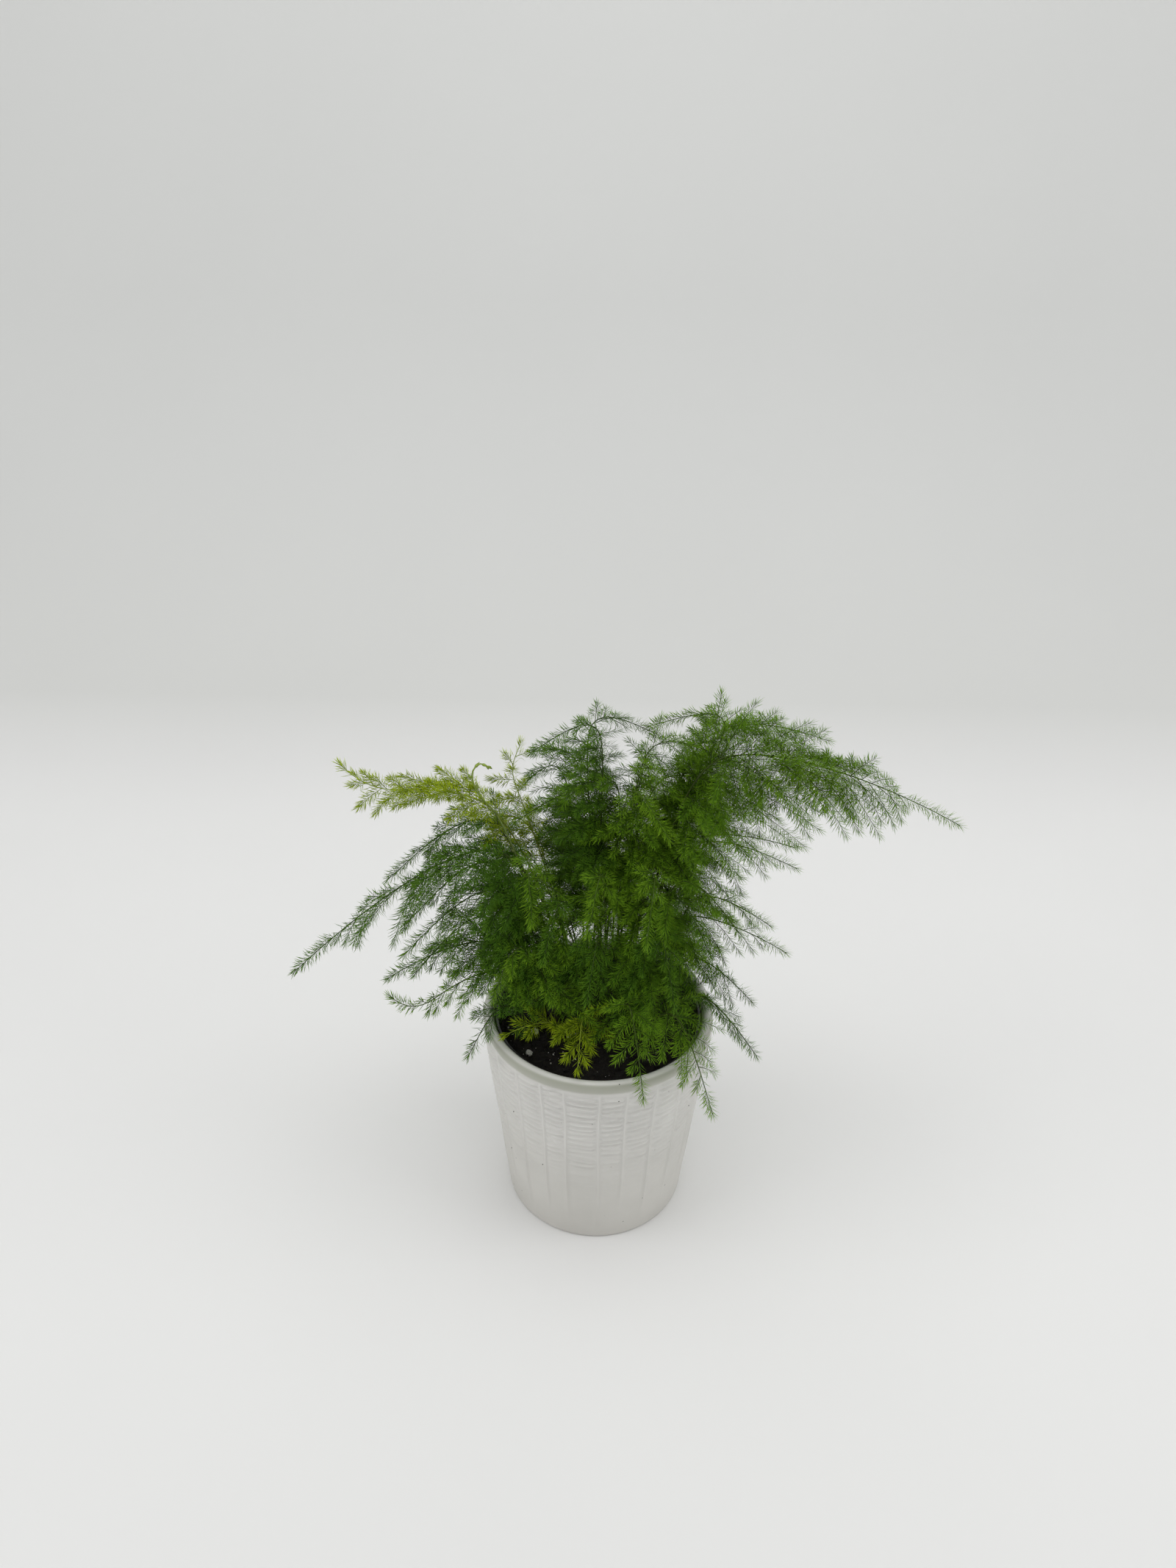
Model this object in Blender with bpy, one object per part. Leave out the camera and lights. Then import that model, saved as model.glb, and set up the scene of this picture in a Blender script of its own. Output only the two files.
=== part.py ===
"""Potted asparagus fern: a white relief pot, the black grower's pot inside it, soil, perlite and fronds.

Lengths are in millimetres and are scaled to metres when a mesh is made. The pot's axis is Z, the
middle of its underside is the origin, and -Y is the side that faces the viewer.
"""
import math
import random
from collections import namedtuple

import bmesh
import bpy
import numpy as np
from mathutils import Matrix, Vector

MM = 0.001

# Outer pot
POT_HEIGHT = 118.4
RIM_RADIUS = 60.0
BASE_RADIUS = 48.5
OPENING_RADIUS = 54.8
POT_FLOOR = 5.0
POT_WALL = 3.6
LIP_HEIGHT = 6.0
LIP_START = POT_HEIGHT - LIP_HEIGHT
LIP_PROUD = 0.8
FOOT_BEVEL = 1.5

# Relief on the outer pot: upright ribs, with bars stacked between them
RIBS = 24
RIB_COLUMNS = 3
RIB_HALF_WIDTH = math.radians(2.6)
RIB_PROUD = 0.6
BAR_PROUD = 0.4
RELIEF_LOW = 18.0
RELIEF_FULL = 46.0
RELIEF_ROWS = 10

# Grower's pot, which stands in the outer pot
LINER_TOP = 114.5
LINER_WALL = 1.2
LINER_FLOOR = 1.6
LINER_PLAY = 0.9
LINER_LIP = 2.5
DRAIN_HOLES = 6
DRAIN_RADIUS = 4.0
DRAIN_RING = 28.0
ROUND_SIDES = 32

# Soil
GAP = 0.3
SOIL_TOP = 105.0
SOIL_LUMP = 0.9
SOIL_SIDES = 32
SOIL_RINGS = (0.7, 0.35)
STEM_DEPTH = 14.0
STEM_UPRIGHT = STEM_DEPTH + 3.0
HOLE_PLAY = 0.56
HOLE_SIDES = 5

# White grains on the soil: place and size
PERLITE = [(-46.0, 9.0, 2.6), (-35.0, -25.0, 1.8), (-33.0, -8.0, 1.9)]
PERLITE_SUNK = 1.2

# Fronds
STEM_RADIUS = 0.75
STEM_TIP_RADIUS = 0.35
SPRAY_RADIUS = 0.42
SPRAY_TIP_RADIUS = 0.28
NODE_LENGTH = 1.3
NEEDLE = 5.0
SPRAY_PITCH = 31.0
WHORL_PITCH = 15.0
FIRST_WHORL = 7.5
SPRAY_LEAN = 43.0
SHORTEST_SPRAY = 8.0
TIP_LENGTH = 4.5
NEEDLE_RADIUS = 0.25
NEEDLE_LEAN = 0.7
NEEDLE_SPLAY = 0.45
NEEDLE_TESTED = 0.4
STEM_STEPS = 60
STEM_RING_PITCH = 22.0
STEM_END = 6.0
SPRAY_STEPS = 6
SPRAY_START = 1.6
LIMBS_PER_FROND = 40

# Where a stem's rise makes it upright, and the reach, lean and outward turn of its sprays there
UPRIGHT_FROM = 0.65
UPRIGHT_FULL = 0.97
UPRIGHT_REACH = 0.85
UPRIGHT_LEAN = 12.0
UPRIGHT_OUT = -0.7

# Room between limbs, and the ways that a limb is bent to find it
ROD_ROOM = 20000
CLEARANCE = 0.45
STEM_ROOM = 0.8
FOOT_SHARE = 0.25
SPRAY_ROOM = 0.9
STEM_BULGES = (0, 2, -2, 4, -4, 6, -6, 8, -8, 11, -11, 14, -14)
SPRAY_TRIES = ((1, 0), (1, 14), (1, -14), (0.85, 0), (0.85, 24), (0.85, -24), (0.65, 0),
               (0.65, 34), (0.65, -34), (0.45, 0), (0.45, 40), (0.45, -40))

# Young shoot with a hooked top
SHOOT_POINTS = [(-22, -4, 108), (-25, -5, 150), (-39, -4, 205), (-49, 0, 230), (-58, 0, 243),
                (-61, 0, 252), (-59, 0, 257.5), (-55.5, 0, 258.5), (-53.5, 0, 255.5)]
SHOOT_STEPS = 6
SHOOT_HOOK = 22.0
SHOOT_BUDS = 5

Frond = namedtuple("Frond", "name foot shoulder tip spread first sag roll flick tint lop")


def frond(name, foot, shoulder, tip, spread, first=0.45, sag=0.5, roll=0, flick=0, tint="dark",
          lop=0):
    """One frond: where it leaves the soil, where it arches over, its tip, and its side sprays.

    spread is the longest side spray, first the bare share of the stem, sag how far the sprays
    hang, roll the tilt of the frond's plane in degrees, flick the upward turn of its tip and lop
    the share by which the sprays on its right are longer than those on its left are shorter.
    """
    return Frond(name, foot, shoulder, tip, spread, first, sag, roll, flick, tint, lop)


FRONDS = [
    # Crown of tall fronds
    frond("crown_right", (20, 2), (56, 6, 260), (170, 0, 229), 76, 0.42, 0.45, 18, tint="mid", lop=0.10),
    frond("crown_right_back", (13, 11), (52, 34, 258), (116, 52, 248), 60, 0.42, 0.20, tint="mid", lop=0.15),
    frond("crown_turned", (18, 15), (58, 24, 268), (22, 40, 260), 48, 0.46, 0.2, tint="mid"),
    frond("crown_middle", (3, -3), (-3, 26, 264), (32, 48, 250), 54, 0.38, 0.2),
    frond("crown_fan", (-4, 2), (-2, 14, 268), (-34, 16, 257), 50, 0.42, 0.3),
    frond("crown_fill", (8, 4), (22, 10, 262), (66, 16, 250), 60, 0.40, 0.3, tint="mid"),
    frond("crown_left", (-6, 10), (-12, 36, 240), (-38, 66, 232), 58, 0.38, 0.2),
    frond("band_right", (10, 17), (30, 30, 236), (92, 36, 210), 57, 0.34, 0.35, tint="mid", lop=0.10),
    frond("band_left", (2, 14), (6, 14, 242), (-42, 2, 226), 53, 0.38, 0.3, tint="mid"),
    # New growth on the left
    frond("light_left", (-16, 6), (-58, 6, 235), (-124, 6, 236), 42, 0.54, 0.35, 0, 18, "new"),
    frond("light_upright", (-13, 15), (-43, 28, 232), (-41, 42, 250), 40, 0.54, 0.0, tint="new"),
    # Left side
    frond("left_long", (-14, -6), (-52, -14, 220), (-148, -26, 157), 48, 0.36, 0.75, lop=-0.2),
    frond("left_high", (-20, 1), (-54, 4, 225), (-106, 6, 190), 54, 0.34, 0.5),
    frond("left_fill", (-28, 6), (-54, -6, 208), (-94, -14, 178), 54, 0.34, 0.7, lop=-0.15),
    frond("left_mid", (-20, -9), (-50, -18, 200), (-95, -24, 166), 50, 0.30, 0.6),
    frond("left_under", (-34, -6), (-56, -16, 184), (-90, -26, 156), 48, 0.32, 0.6),
    frond("left_low", (-27, -3), (-56, -12, 166), (-106, -14, 144), 44, 0.30, 0.5),
    frond("left_hook", (-26, -12), (-52, -22, 156), (-102, -30, 124), 35, 0.30, 0.5, 0, 22, "mid"),
    frond("left_rim", (-33, -14), (-48, -27, 138), (-64, -38, 116), 26, 0.30, 0.5),
    # Right side
    frond("right_high", (22, -5), (40, -4, 220), (94, 4, 213), 60, 0.34, 0.6, tint="mid"),
    frond("right_mid", (25, 7), (46, 14, 208), (98, 12, 196), 64, 0.34, 0.85, tint="mid", lop=0.10),
    frond("right_fill", (34, -1), (47, -6, 190), (85, -4, 172), 58, 0.34, 0.7, tint="mid"),
    frond("right_hang", (16, -9), (37, -20, 208), (66, -28, 184), 54, 0.32, 0.6, tint="mid"),
    frond("right_low", (31, 3), (44, 6, 170), (96, 4, 150), 50, 0.32, 0.6, tint="mid"),
    frond("right_rim", (30, -6), (46, -12, 158), (78, -14, 132), 42, 0.30, 0.7),
    frond("right_drop", (29, -15), (48, -25, 146), (80, -29, 110), 35, 0.30, 0.6),
    # Towards the viewer
    frond("front_right", (21, -22), (36, -42, 146), (55, -62, 103), 35, 0.30, 0.6, tint="mid"),
    frond("front_middle", (9, -20), (14, -42, 152), (21, -68, 118), 36, 0.28, 0.5, tint="mid"),
    frond("front_left", (-4, -22), (-8, -38, 140), (-10, -58, 125.5), 28, 0.34, 0.5, tint="new"),
    frond("front_low", (-12, -24), (-26, -31, 132), (-46, -39, 130), 22, 0.36, 0.4, tint="new"),
    frond("front_patch", (-19, -16), (-38, -30, 176), (-50, -46, 158), 40, 0.34, 0.5, 20, tint="mid",
          lop=-0.25),
    frond("mound_left", (-2, -13), (-1, -27, 182), (-6, -52, 162), 42, 0.26, 0.5),
    frond("mound_right", (13, -14), (26, -25, 185), (35, -49, 157), 42, 0.26, 0.5),
    # Hanging over the middle
    frond("near_left", (-10, -3), (-32, -25, 222), (-31, -51, 204), 36, 0.46, 0.4, tint="mid"),
    frond("near_middle", (4, -9), (0, -25, 214), (-6, -51, 199), 36, 0.46, 0.4, tint="mid"),
    frond("near_right", (12, -3), (24, -23, 214), (20, -53, 195), 38, 0.46, 0.4, tint="mid"),
    frond("near_high", (6, 6), (12, -4, 246), (30, -30, 236), 42, 0.40, 0.4, tint="mid"),
    frond("near_low", (-7, -9), (-18, -26, 200), (-26, -54, 186), 38, 0.36, 0.6),
    frond("near_low_right", (20, -12), (34, -22, 200), (50, -48, 186), 38, 0.36, 0.6),
    # Far side
    frond("far_right", (17, 22), (40, 56, 200), (76, 94, 176), 55, 0.32, 0.5),
    frond("far_left", (-14, 21), (-40, 54, 196), (-78, 86, 170), 53, 0.32, 0.5),
    frond("far_middle", (1, 25), (0, 62, 190), (-4, 108, 160), 55, 0.32, 0.5),
    frond("far_low", (9, 31), (28, 62, 150), (46, 92, 120), 42, 0.30, 0.5),
    frond("far_low_left", (-9, 31), (-30, 60, 150), (-56, 82, 122), 42, 0.30, 0.5),
    frond("far_high", (9, 24), (22, 48, 236), (36, 84, 210), 50, 0.38, 0.45),
    frond("far_high_left", (-7, 22), (-20, 46, 230), (-44, 80, 204), 48, 0.36, 0.45),
]

TINTS = {
    "dark": (0.030, 0.085, 0.012),
    "mid": (0.075, 0.190, 0.020),
    "new": (0.300, 0.420, 0.030),
}


# Vector helpers
def mix(a, b, share):
    return a + (b - a) * share


def smooth(low, high, value):
    """0 below low, 1 above high, with a soft change between them."""
    t = min(1.0, max(0.0, (value - low) / (high - low)))
    return t * t * (3 - 2 * t)


def hermite(a, heading_a, b, heading_b, s):
    """A point on the smooth curve from a to b that leaves and arrives along the two headings."""
    return (a * (2 * s**3 - 3 * s * s + 1) + heading_a * (s**3 - 2 * s * s + s)
            + b * (3 * s * s - 2 * s**3) + heading_b * (s**3 - s * s))


def along(points, distance):
    """The point at a distance along a chain of points, and the direction there."""
    for a, b in zip(points, points[1:]):
        step = (b - a).length
        if distance <= step or b is points[-1]:
            break
        distance -= step
    direction = (b - a).normalized()
    return a + direction * min(distance, step), direction


def length_of(points):
    return sum((b - a).length for a, b in zip(points, points[1:]))


def point_of(points, length):
    """Where a limb ends that runs on past its line by a length."""
    return points[-1] + (points[-1] - points[-2]).normalized() * length


# Scene helpers
def clear_scene():
    for item in list(bpy.data.objects):
        bpy.data.objects.remove(item, do_unlink=True)


def material(name, colour, roughness, metallic=0.0):
    made = bpy.data.materials.get(name)
    if made:
        return made
    made = bpy.data.materials.new(name)
    made.use_nodes = True
    shader = made.node_tree.nodes["Principled BSDF"]
    shader.inputs["Base Color"].default_value = (*colour, 1.0)
    shader.inputs["Roughness"].default_value = roughness
    shader.inputs["Metallic"].default_value = metallic
    return made


def add_object(name, bm, finish):
    """Turn a bmesh in millimetres into a named object in metres."""
    bmesh.ops.recalc_face_normals(bm, faces=bm.faces)
    if bm.calc_volume(signed=True) < 0:
        bmesh.ops.reverse_faces(bm, faces=bm.faces)
    bmesh.ops.scale(bm, vec=(MM, MM, MM), verts=bm.verts)
    mesh = bpy.data.meshes.new(name)
    bm.to_mesh(mesh)
    bm.free()
    mesh.materials.append(finish)
    made = bpy.data.objects.new(name, mesh)
    bpy.context.collection.objects.link(made)
    return made


def turned(profile, sides):
    """Spin a profile of (radius, height) points round Z. A profile that starts and ends on the
    axis makes a closed solid."""
    bm = bmesh.new()
    verts = [bm.verts.new((radius, 0, height)) for radius, height in profile]
    edges = [bm.edges.new(pair) for pair in zip(verts, verts[1:])]
    bmesh.ops.spin(bm, geom=verts + edges, axis=(0, 0, 1), cent=(0, 0, 0),
                   angle=2 * math.pi, steps=sides, use_merge=True)
    bmesh.ops.remove_doubles(bm, verts=bm.verts, dist=1e-4)
    return bm


def cut(target, cutters):
    """Take the cutters away from the target with one Boolean, applied."""
    group = bpy.data.collections.new(target.name + "_cutters")
    bpy.context.scene.collection.children.link(group)
    for cutter in cutters:
        bpy.context.collection.objects.unlink(cutter)
        group.objects.link(cutter)
    modifier = target.modifiers.new("holes", "BOOLEAN")
    modifier.operation = "DIFFERENCE"
    modifier.operand_type = "COLLECTION"
    modifier.collection = group
    modifier.solver = "EXACT"
    bpy.context.view_layer.update()
    shape = target.evaluated_get(bpy.context.evaluated_depsgraph_get())
    mesh = bpy.data.meshes.new_from_object(shape)
    target.modifiers.clear()
    target.data = mesh
    for cutter in cutters:
        bpy.data.objects.remove(cutter, do_unlink=True)
    bpy.data.collections.remove(group)


def peg(name, x, y, low, high, radius, sides):
    """An upright prism, used to cut a hole."""
    bm = bmesh.new()
    place = Matrix.Translation((x, y, (low + high) / 2))
    bmesh.ops.create_cone(bm, cap_ends=True, segments=sides, radius1=radius, radius2=radius,
                          depth=high - low, matrix=place)
    made = add_object(name, bm, material("cutter", (0.5, 0.5, 0.5), 0.5))
    made.hide_render = True
    made.display_type = "WIRE"
    return made


# Pot, grower's pot, soil and perlite
def pot_radius(height):
    """Radius of the outer pot's plain wall at a height."""
    return mix(BASE_RADIUS, RIM_RADIUS - LIP_PROUD, height / LIP_START)


def pot_inner_radius(height):
    return mix(BASE_RADIUS - POT_WALL, OPENING_RADIUS, height / POT_HEIGHT)


def liner_radius(height):
    return pot_inner_radius(height) - LINER_PLAY


def soil_radius(height):
    return liner_radius(height) - LINER_WALL - GAP


def relief(rib, place, height, row):
    """How far the outer wall stands proud: ribs all the way up, and bars between them in rows
    that step from one rib to the next. Both fade out towards the foot."""
    strength = smooth(RELIEF_LOW - 8, RELIEF_FULL, height)
    if place == 0:
        return RIB_PROUD * strength
    return BAR_PROUD * strength if (row + rib) % 2 else 0.0


def column_of(x, y):
    """Which rib a point of the wall belongs to, and its place: 0 on the rib, then both sides of
    the bars that follow."""
    turn = math.atan2(y, x) % (2 * math.pi)
    column = round(turn / (2 * math.pi) * RIBS * RIB_COLUMNS)
    return divmod(column % (RIBS * RIB_COLUMNS), RIB_COLUMNS)


def build_pot():
    top_row = LIP_START - 2.0
    pitch = (top_row - RELIEF_LOW) / (RELIEF_ROWS - 1)
    rows = [RELIEF_LOW + pitch * i for i in range(RELIEF_ROWS)]
    profile = [(0, 0), (BASE_RADIUS - FOOT_BEVEL, 0), (BASE_RADIUS, FOOT_BEVEL)]
    profile += [(pot_radius(z), z) for z in rows]
    profile += [(pot_radius(LIP_START), LIP_START), (RIM_RADIUS, LIP_START + 1.6),
                (RIM_RADIUS, POT_HEIGHT - 1.6), (RIM_RADIUS - 1.4, POT_HEIGHT),
                (OPENING_RADIUS + 1.0, POT_HEIGHT), (OPENING_RADIUS, POT_HEIGHT - 1.2),
                (pot_inner_radius(POT_FLOOR), POT_FLOOR), (0, POT_FLOOR)]
    bm = turned(profile, RIBS * RIB_COLUMNS)
    period = 2 * math.pi / RIBS
    for vert in bm.verts:
        x, y, height = vert.co
        rib, place = column_of(x, y)
        turn = period * rib + (0, RIB_HALF_WIDTH, period - RIB_HALF_WIDTH)[place]
        out = math.hypot(x, y)
        if RELIEF_LOW - 0.5 < height < top_row + 0.5:
            out += relief(rib, place, height, round((height - RELIEF_LOW) / pitch))
        vert.co = Vector((out * math.cos(turn), out * math.sin(turn), height))
    add_object("outer_pot", bm, material("white_ceramic", (0.72, 0.72, 0.69), 0.45))


def build_liner():
    low = POT_FLOOR + GAP
    profile = [(0, low), (liner_radius(low) - 1.0, low), (liner_radius(low), low + 1.0),
               (liner_radius(LINER_TOP - LINER_LIP), LINER_TOP - LINER_LIP),
               (liner_radius(LINER_TOP) + 0.4, LINER_TOP - LINER_LIP + 0.4),
               (liner_radius(LINER_TOP) + 0.4, LINER_TOP - 0.4),
               (liner_radius(LINER_TOP), LINER_TOP),
               (liner_radius(LINER_TOP) - LINER_WALL, LINER_TOP - 0.4),
               (liner_radius(low) - LINER_WALL, low + LINER_FLOOR), (0, low + LINER_FLOOR)]
    liner = add_object("grower_pot", turned(profile, ROUND_SIDES),
                       material("black_plastic", (0.012, 0.012, 0.013), 0.35))
    drains = []
    for i in range(DRAIN_HOLES):
        turn = 2 * math.pi * (i + 0.5) / DRAIN_HOLES
        drains.append(peg("drain", DRAIN_RING * math.cos(turn), DRAIN_RING * math.sin(turn),
                          low - 1, low + LINER_FLOOR + 1, DRAIN_RADIUS, 8))
    cut(liner, drains)


def soil_height(x, y):
    """The soil is a low dome with soft lumps."""
    dome = 1.5 * (1 - (math.hypot(x, y) / soil_radius(SOIL_TOP)) ** 2)
    lumps = math.sin(0.21 * x + 1.3) * math.sin(0.19 * y + 0.4) + 0.5 * math.sin(0.37 * (x - y))
    return SOIL_TOP + dome + SOIL_LUMP * lumps


def build_soil(feet):
    low = POT_FLOOR + GAP + LINER_FLOOR + GAP
    edge = soil_radius(SOIL_TOP)
    profile = [(0, low), (soil_radius(low), low), (edge, SOIL_TOP)]
    profile += [(edge * share, SOIL_TOP) for share in SOIL_RINGS] + [(0, SOIL_TOP)]
    bm = turned(profile, SOIL_SIDES)
    for vert in bm.verts:
        if vert.co.z > SOIL_TOP - 1:
            vert.co.z = soil_height(vert.co.x, vert.co.y)
    soil = add_object("soil", bm, material("soil", (0.012, 0.008, 0.006), 0.95))
    holes = [peg("stem_hole", x, y, SOIL_TOP - STEM_DEPTH - GAP, SOIL_TOP + 8,
                 STEM_RADIUS + HOLE_PLAY, HOLE_SIDES) for x, y in feet]
    holes += [peg("grain_seat", x, y, soil_height(x, y) - PERLITE_SUNK, SOIL_TOP + 8, size + GAP, 8)
              for x, y, size in PERLITE]
    cut(soil, holes)


def build_perlite():
    """Rough white grains, each seated in a small hollow in the soil."""
    rng = random.Random(5)
    for number, (x, y, size) in enumerate(PERLITE, 1):
        bm = bmesh.new()
        bmesh.ops.create_icosphere(bm, subdivisions=1, radius=size)
        for vert in bm.verts:
            vert.co *= rng.uniform(0.72, 0.98)
        lowest = min(vert.co.z for vert in bm.verts)
        seat = soil_height(x, y) - PERLITE_SUNK + GAP
        bmesh.ops.translate(bm, vec=(x, y, seat - lowest), verts=bm.verts)
        add_object(f"perlite_{number}", bm, material("perlite", (0.75, 0.74, 0.70), 0.9))


# Room around the limbs, so that no limb or needle touches another
class Space:
    """Every stem, spray and needle placed so far, as straight rods with a radius."""

    def __init__(self):
        self.start = np.zeros((ROD_ROOM, 3))
        self.end = np.zeros((ROD_ROOM, 3))
        self.radius = np.zeros(ROD_ROOM)
        self.limb = np.zeros(ROD_ROOM, dtype=int)
        self.count = 0

    def add(self, a, b, radius, limb):
        self.start[self.count] = a
        self.end[self.count] = b
        self.radius[self.count] = radius
        self.limb[self.count] = limb
        self.count += 1

    def add_chain(self, points, radius, limb):
        for a, b in zip(points, points[1:]):
            self.add(a, b, radius, limb)

    def is_clear(self, a, b, radius, skip, room, skip_frond=None):
        """True if the rod from a to b stays clear of all rods but those of the limbs in skip, or
        of a whole frond."""
        if hits_pot(a, radius) or hits_pot(b, radius):
            return False
        n = self.count
        if n == 0:
            return True
        gap = rod_distance(np.array(a), np.array(b), self.start[:n], self.end[:n])
        near = gap < self.radius[:n] + radius + room
        for limb in skip:
            near &= self.limb[:n] != limb
        if skip_frond is not None:
            near &= self.limb[:n] // LIMBS_PER_FROND != skip_frond
        return not near.any()

    def chain_is_clear(self, points, radius, skip, room):
        return all(self.is_clear(a, b, radius, skip, room) for a, b in zip(points, points[1:]))


def rod_distance(a, b, starts, ends):
    """Shortest distance from the rod a-b to each of many rods."""
    u = b - a
    v = ends - starts
    w = a - starts
    uu = u @ u
    uv = v @ u
    vv = np.einsum("ij,ij->i", v, v) + 1e-12
    uw = w @ u
    vw = np.einsum("ij,ij->i", v, w)
    spread = np.maximum(uu * vv - uv * uv, 1e-12)
    s = np.clip((uv * vw - uw * vv) / spread, 0, 1)
    t = np.clip((uv * s + vw) / vv, 0, 1)
    s = np.clip((uv * t - uw) / uu, 0, 1)
    closest = w + s[:, None] * u - t[:, None] * v
    return np.sqrt(np.einsum("ij,ij->i", closest, closest))


def hits_pot(point, radius):
    """True if a round point would touch the pot, its rim or the soil."""
    x, y, z = point
    out = math.hypot(x, y)
    room = radius + CLEARANCE
    if out > pot_radius(min(max(z, 0), LIP_START)) + LIP_PROUD + RIB_PROUD + room:
        return False
    if out > soil_radius(SOIL_TOP) - room:
        return z < POT_HEIGHT + room
    return z < SOIL_TOP + 3.0 + room


# Fronds
def across_of(f):
    """The level direction to the right of a frond, looking from its foot to its tip."""
    return Vector((f.tip[1] - f.foot[1], f.foot[0] - f.tip[0], 0)).normalized()


def stem_line(f, bulge):
    """The stem's middle line: upright out of the soil, over the shoulder and out to the tip."""
    foot = Vector((*f.foot, SOIL_TOP - STEM_DEPTH + STEM_UPRIGHT))
    shoulder = Vector(f.shoulder)
    tip = Vector(f.tip)
    rise = Vector((0, 0, (shoulder - foot).length))
    over = (tip - foot) * 0.5
    over.z *= 0.44
    droop = (tip - shoulder) * 0.9
    droop.z -= 0.25 * (tip - shoulder).length
    side = across_of(f)
    points = [Vector((*f.foot, SOIL_TOP - STEM_DEPTH))]
    for i in range(STEM_STEPS + 1):
        t = 2 * i / STEM_STEPS
        if t < 1:
            point = hermite(foot, rise, shoulder, over, t)
        else:
            point = hermite(shoulder, over, tip, droop, t - 1)
        point += side * (bulge * math.sin(math.pi * t / 2))
        point.z += f.flick * max(0.0, (t - 1.6) / 0.4) ** 2
        points.append(point)
    return points


def shoot_line(bulge):
    """The young shoot's middle line: a smooth curve through its points, hooked at the top."""
    side = Vector((0, 1, 0))
    knots = [Vector(p) for p in SHOOT_POINTS]
    knots = [2 * knots[0] - knots[1]] + knots + [2 * knots[-1] - knots[-2]]
    points = [Vector((*SHOOT_POINTS[0][:2], SOIL_TOP - STEM_DEPTH))]
    spans = len(knots) - 3
    for i in range(spans):
        a, b, c, d = knots[i:i + 4]
        for j in range(SHOOT_STEPS):
            points.append(hermite(b, (c - a) / 2, c, (d - b) / 2, j / SHOOT_STEPS))
    points.append(knots[-2])
    total = len(points) - 1
    return [p + side * (bulge * math.sin(math.pi * max(0, i - 1) / (total - 1)))
            for i, p in enumerate(points)]


def free_line(space, make_line, ring_distances, limb):
    """The first way of bending a stem sideways that keeps it clear of the stems before it. The
    test starts just above the soil, because the foot stands in it."""
    for bulge in STEM_BULGES:
        line = make_line(bulge)
        chain = [along(line, distance)[0] for distance in ring_distances(line)]
        chain.append(point_of(line, TIP_LENGTH))
        above_soil = [chain[0].lerp(chain[1], FOOT_SHARE)] + chain[1:]
        if space.chain_is_clear(above_soil, STEM_RADIUS, (), STEM_ROOM):
            break
    space.add_chain([line[0]] + chain, STEM_RADIUS, limb)
    return line


def bare_rings(length, pitch):
    """Places of the tube's rings from the soil up to a length along a stem."""
    count = max(2, round((length - STEM_UPRIGHT) / pitch))
    return [mix(STEM_UPRIGHT, length, i / count) for i in range(count + 1)]


def spray_places(f, line):
    """(distance along the stem, side, length) of each of a frond's side sprays."""
    total = length_of(line)
    start = mix(STEM_DEPTH, total, f.first)
    end = total - STEM_END
    count = max(3, round((end - start) / SPRAY_PITCH))
    rows = []
    for i in range(count):
        share = (i + 0.5) / count
        side = 1 if i % 2 else -1
        distance = mix(start, end, share)
        upright = upright_share(along(line, distance)[1])
        spread = f.spread * (1 + f.lop * side) * mix(1.0, UPRIGHT_REACH, upright)
        rows.append((distance, side, spread * side_profile(share) - TIP_LENGTH))
    return rows


def upright_share(direction):
    """0 where a stem runs over in its arch, 1 where it stands upright."""
    return smooth(UPRIGHT_FROM, UPRIGHT_FULL, direction.z)


def frond_rings(f, line):
    nodes = [row[0] for row in spray_places(f, line)]
    return bare_rings(nodes[0] - NODE_LENGTH, STEM_RING_PITCH) + nodes + [length_of(line)]


def shoot_rings(line):
    total = length_of(line)
    return bare_rings(total - SHOOT_HOOK, STEM_RING_PITCH) + [total - SHOOT_HOOK / 2, total]


def frame(direction, across, roll):
    """The side and up directions of a limb, tilted by roll about its own direction."""
    side = (across - direction * across.dot(direction)).normalized()
    up = side.cross(direction)
    turn = Matrix.Rotation(math.radians(roll), 3, direction)
    return turn @ side, turn @ up


def area_of(corners):
    """The area of a ring of corners, as a vector whose way tells which way round they run."""
    total = Vector()
    for p, q in zip(corners, [*corners[1:], corners[0]]):
        total += p.co.cross(q.co) / 2
    return total


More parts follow.
